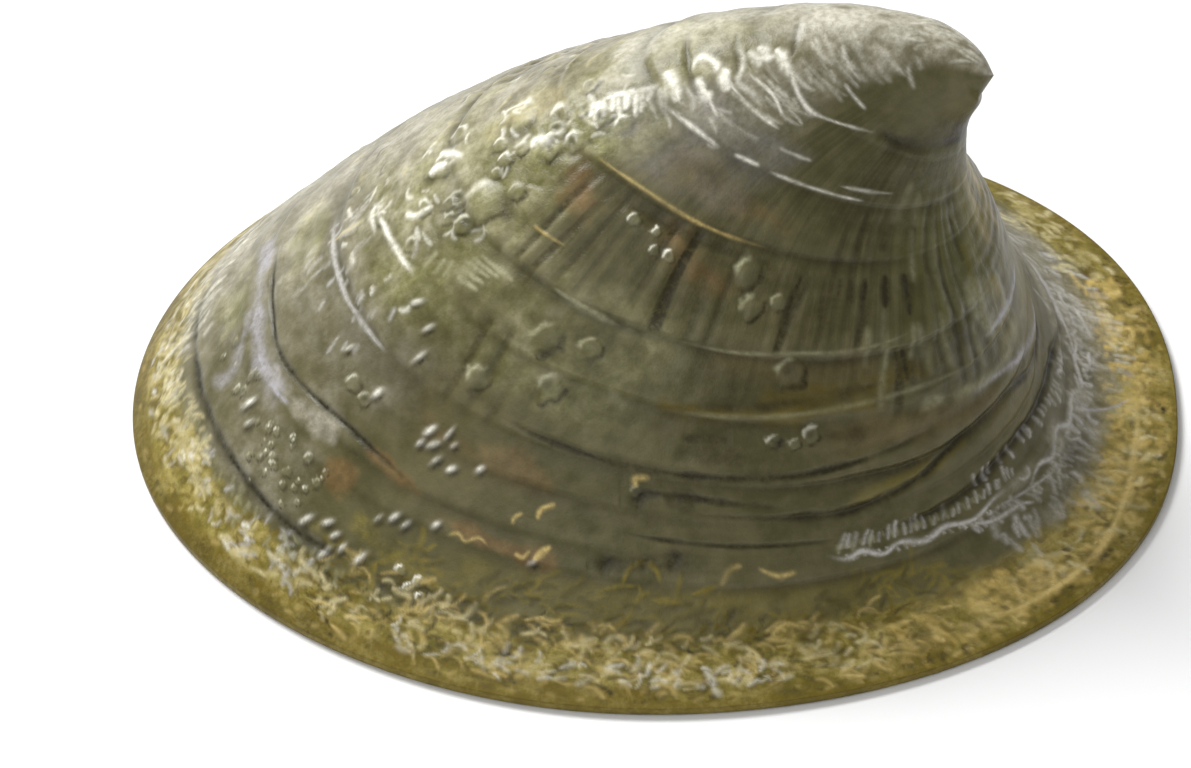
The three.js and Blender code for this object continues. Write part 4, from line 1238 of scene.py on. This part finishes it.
class ShellNodes(Nodes):
    """The noises that the shell's colours share, and those colours."""

    def __init__(self, material):
        super().__init__(material)
        self.growth = self.attribute("growth", "Vector")
        self.place = self.stretch(self.add("TexCoord", {}).outputs["Object"], (1 / MM,) * 3)
        self.mottle = self.noise(self.place, 5, 4, 0.6)
        self.grain = self.noise(self.place, 22, 3, 0.6)
        self.bands = self.noise(self.stretch(self.growth, (0.6, 0.6, 26)), 1, 3, 0.6)

    def mean(self, a, share, b):
        """A mean of two values, in which the first has this share."""
        return self.math("ADD", self.math("MULTIPLY", a, share), self.math("MULTIPLY", b, 1 - share))

    def tinted(self, base, name, colour, full):
        """A colour laid over the base by the amount of a tint, with a grainy edge."""
        rough = self.math("MULTIPLY", self.spread(self.grain, 0.35, 0.65, -1, 1), TINT_GRAIN)
        amount = self.attribute(name)
        amount = self.math("ADD", amount, self.math("MULTIPLY", amount, rough))
        return self.mix(self.spread(amount, 0, full), base, colour)

    def ground(self):
        """Olive brown in clouds, banded by growth and streaked where the skin asks for it."""
        clouds = self.mean(self.noise(self.place, 1.1, 4, 0.6), 0.5, self.mottle)
        colour = self.ramp(clouds, GROUND)
        colour = self.mix(self.spread(self.bands, 0.35, 0.65, 0.0, 0.4), colour, linear(*GROUND_BANDS))
        streaks = self.noise(self.stretch(self.growth, (24, 24, 2.2)), 1, 3, 0.6)
        dark = self.math("MULTIPLY", self.spread(streaks, 0.45, 0.68), self.attribute("streak"))
        colour = self.mix(self.math("MULTIPLY", dark, 0.45), colour, linear(*DARK_STREAKS))
        pale = self.math("MULTIPLY", self.spread(streaks, 0.5, 0.32), self.attribute("streak"))
        return self.mix(self.math("MULTIPLY", pale, 0.12), colour, linear(*PALE_STREAKS))

    def gilt(self):
        """Uneven gold with dark spots and pale brush marks."""
        colour = self.ramp(self.noise(self.place, 3.2, 5, 0.7), GILT)
        spots = self.noise(self.place, 9, 2, 0.5)
        colour = self.mix(self.spread(spots, 0.57, 0.66, 0.0, 0.65), colour, linear(*GILT_SPOTS))
        brushed = self.noise(self.stretch(self.growth, (14, 14, 60)), 1, 3, 0.6)
        return self.mix(self.spread(brushed, 0.5, 0.68, 0.0, 0.45), colour, linear(*GILT_BRUSH))

    def worn_and_shaded(self, colour):
        """The colour rubbed pale where the skin stands proud, as wear and painted highlight, and darkened in
        its lows, as dirt and painted shade.
        """
        proud = self.attribute("proud")
        colour = self.mix(self.spread(proud, 0.0, 0.035, 0.0, 0.14), colour, linear(*RUBBED_AND_HIGHLIT))
        return self.mix(self.spread(proud, 0.0, -0.025, 0.0, 0.45), colour, linear(*DIRT_AND_SHADE))

    def grainy(self):
        """A normal with a fine grain."""
        height = self.mean(self.grain, 0.6, self.noise(self.place, 60, 2, 0.5))
        bump = self.add("Bump", {"Height": height, "Strength": 0.5, "Distance": GRAIN_DEPTH * MM})
        return bump.outputs["Normal"]


def shell_material():
    """Olive shell with stains, a pale crest, an encrusted golden rim and a porcelain inside."""
    material = bpy.data.materials.new("limpet_shell")
    n = ShellNodes(material)
    colour = n.tinted(n.ground(), "green", n.ramp(n.mottle, MOSS), 1.0)
    colour = n.tinted(colour, "wash", n.ramp(n.mottle, FILM), 1.0)
    colour = n.tinted(colour, "rust", n.ramp(n.mottle, RUST), 1.0)
    colour = n.tinted(colour, "gold", n.gilt(), 0.8)
    for name, paint, full in PAINTS:
        colour = n.tinted(colour, name, linear(*paint), full)
    porcelain = n.ramp(n.mean(n.bands, 0.75, n.mottle), PORCELAIN)
    colour = n.mix(n.attribute("inside"), n.worn_and_shaded(colour), porcelain)
    roughness = n.spread(n.math("ADD", n.mottle, n.attribute("gold")), 0.3, 1.5, *ROUGHNESS)
    n.feed(n.shader, {
        "Base Color": colour, "Roughness": roughness, "Normal": n.grainy(), "Specular IOR Level": SPECULAR,
        "Coat Weight": COAT, "Coat Roughness": COAT_ROUGHNESS,
    })
    return material


# Studio

def make_floor():
    """A wide pale floor under the shell."""
    half = FLOOR_HALF * MM
    corners = [(-half, -half, 0), (half, -half, 0), (half, half, 0), (-half, half, 0)]
    mesh = bpy.data.meshes.new("floor")
    mesh.from_pydata(corners, [], [(0, 1, 2, 3)])
    floor = bpy.data.objects.new("floor", mesh)
    bpy.context.collection.objects.link(floor)
    material = bpy.data.materials.new("pale_floor")
    n = Nodes(material)
    grey = (FLOOR_GREY, FLOOR_GREY, FLOOR_GREY, 1)
    gloss = {"Roughness": FLOOR_ROUGHNESS, "Specular IOR Level": FLOOR_SPECULAR}
    n.feed(n.shader, {"Base Color": grey, **gloss})
    mesh.materials.append(material)
    return floor


def make_light(name, toward, distance, size, watts):
    """A square soft box that faces the shell from a direction."""
    data = bpy.data.lights.new(name, "AREA")
    data.size = size * MM
    data.energy = watts
    light = bpy.data.objects.new(name, data)
    direction = Vector(toward).normalized()
    light.location = Vector((0, 0, LIGHTS_AIM_HEIGHT * MM)) + direction * distance * MM
    light.rotation_euler = direction.to_track_quat("Z", "Y").to_euler()
    bpy.context.collection.objects.link(light)


def make_studio():
    """Soft boxes and white surroundings."""
    for box in LIGHTS:
        make_light(*box)
    world = bpy.data.worlds.new("studio")
    world.use_nodes = True
    background = world.node_tree.nodes["Background"]
    background.inputs["Color"].default_value = (1, 1, 1, 1)
    background.inputs["Strength"].default_value = SURROUNDINGS
    bpy.context.scene.world = world
    bpy.context.scene.view_settings.view_transform = "Standard"


def make_camera():
    """A long lens at the photograph's height, with the rim's middle where the photograph has it."""
    data = bpy.data.cameras.new("camera")
    data.lens = LENS_MM
    data.sensor_width = SENSOR_MM
    distance = PICTURE[0] / PIXELS_PER_MM * LENS_MM / SENSOR_MM * MM
    data.clip_start = distance * CLIP[0]
    data.clip_end = distance * CLIP[1]
    camera = bpy.data.objects.new("camera", data)
    tilt = math.radians(CAMERA_HEIGHT_DEG)
    back = Vector((0, -math.cos(tilt), math.sin(tilt)))
    up = Vector((0, math.sin(tilt), math.cos(tilt)))
    right = Vector((1, 0, 0))
    across = (PICTURE[0] / 2 - RIM_MIDDLE_PIXEL[0]) / PIXELS_PER_MM * MM
    above = (RIM_MIDDLE_PIXEL[1] - PICTURE[1] / 2) / PIXELS_PER_MM * MM
    camera.location = right * across + up * above + back * distance
    camera.rotation_mode = "QUATERNION"
    camera.rotation_quaternion = back.to_track_quat("Z", "Y")
    bpy.context.collection.objects.link(camera)
    bpy.context.scene.camera = camera


make_camera()
surface = shell_material()
for piece in make_shell():
    piece.data.materials.append(surface)
    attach(piece, "root")
    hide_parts("shell")
make_floor()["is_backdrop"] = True
make_studio()

boxes = {"cad": CAD_BOX, "visual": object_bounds()}
{name: [list(corner) for corner in box] for name, box in boxes.items()}
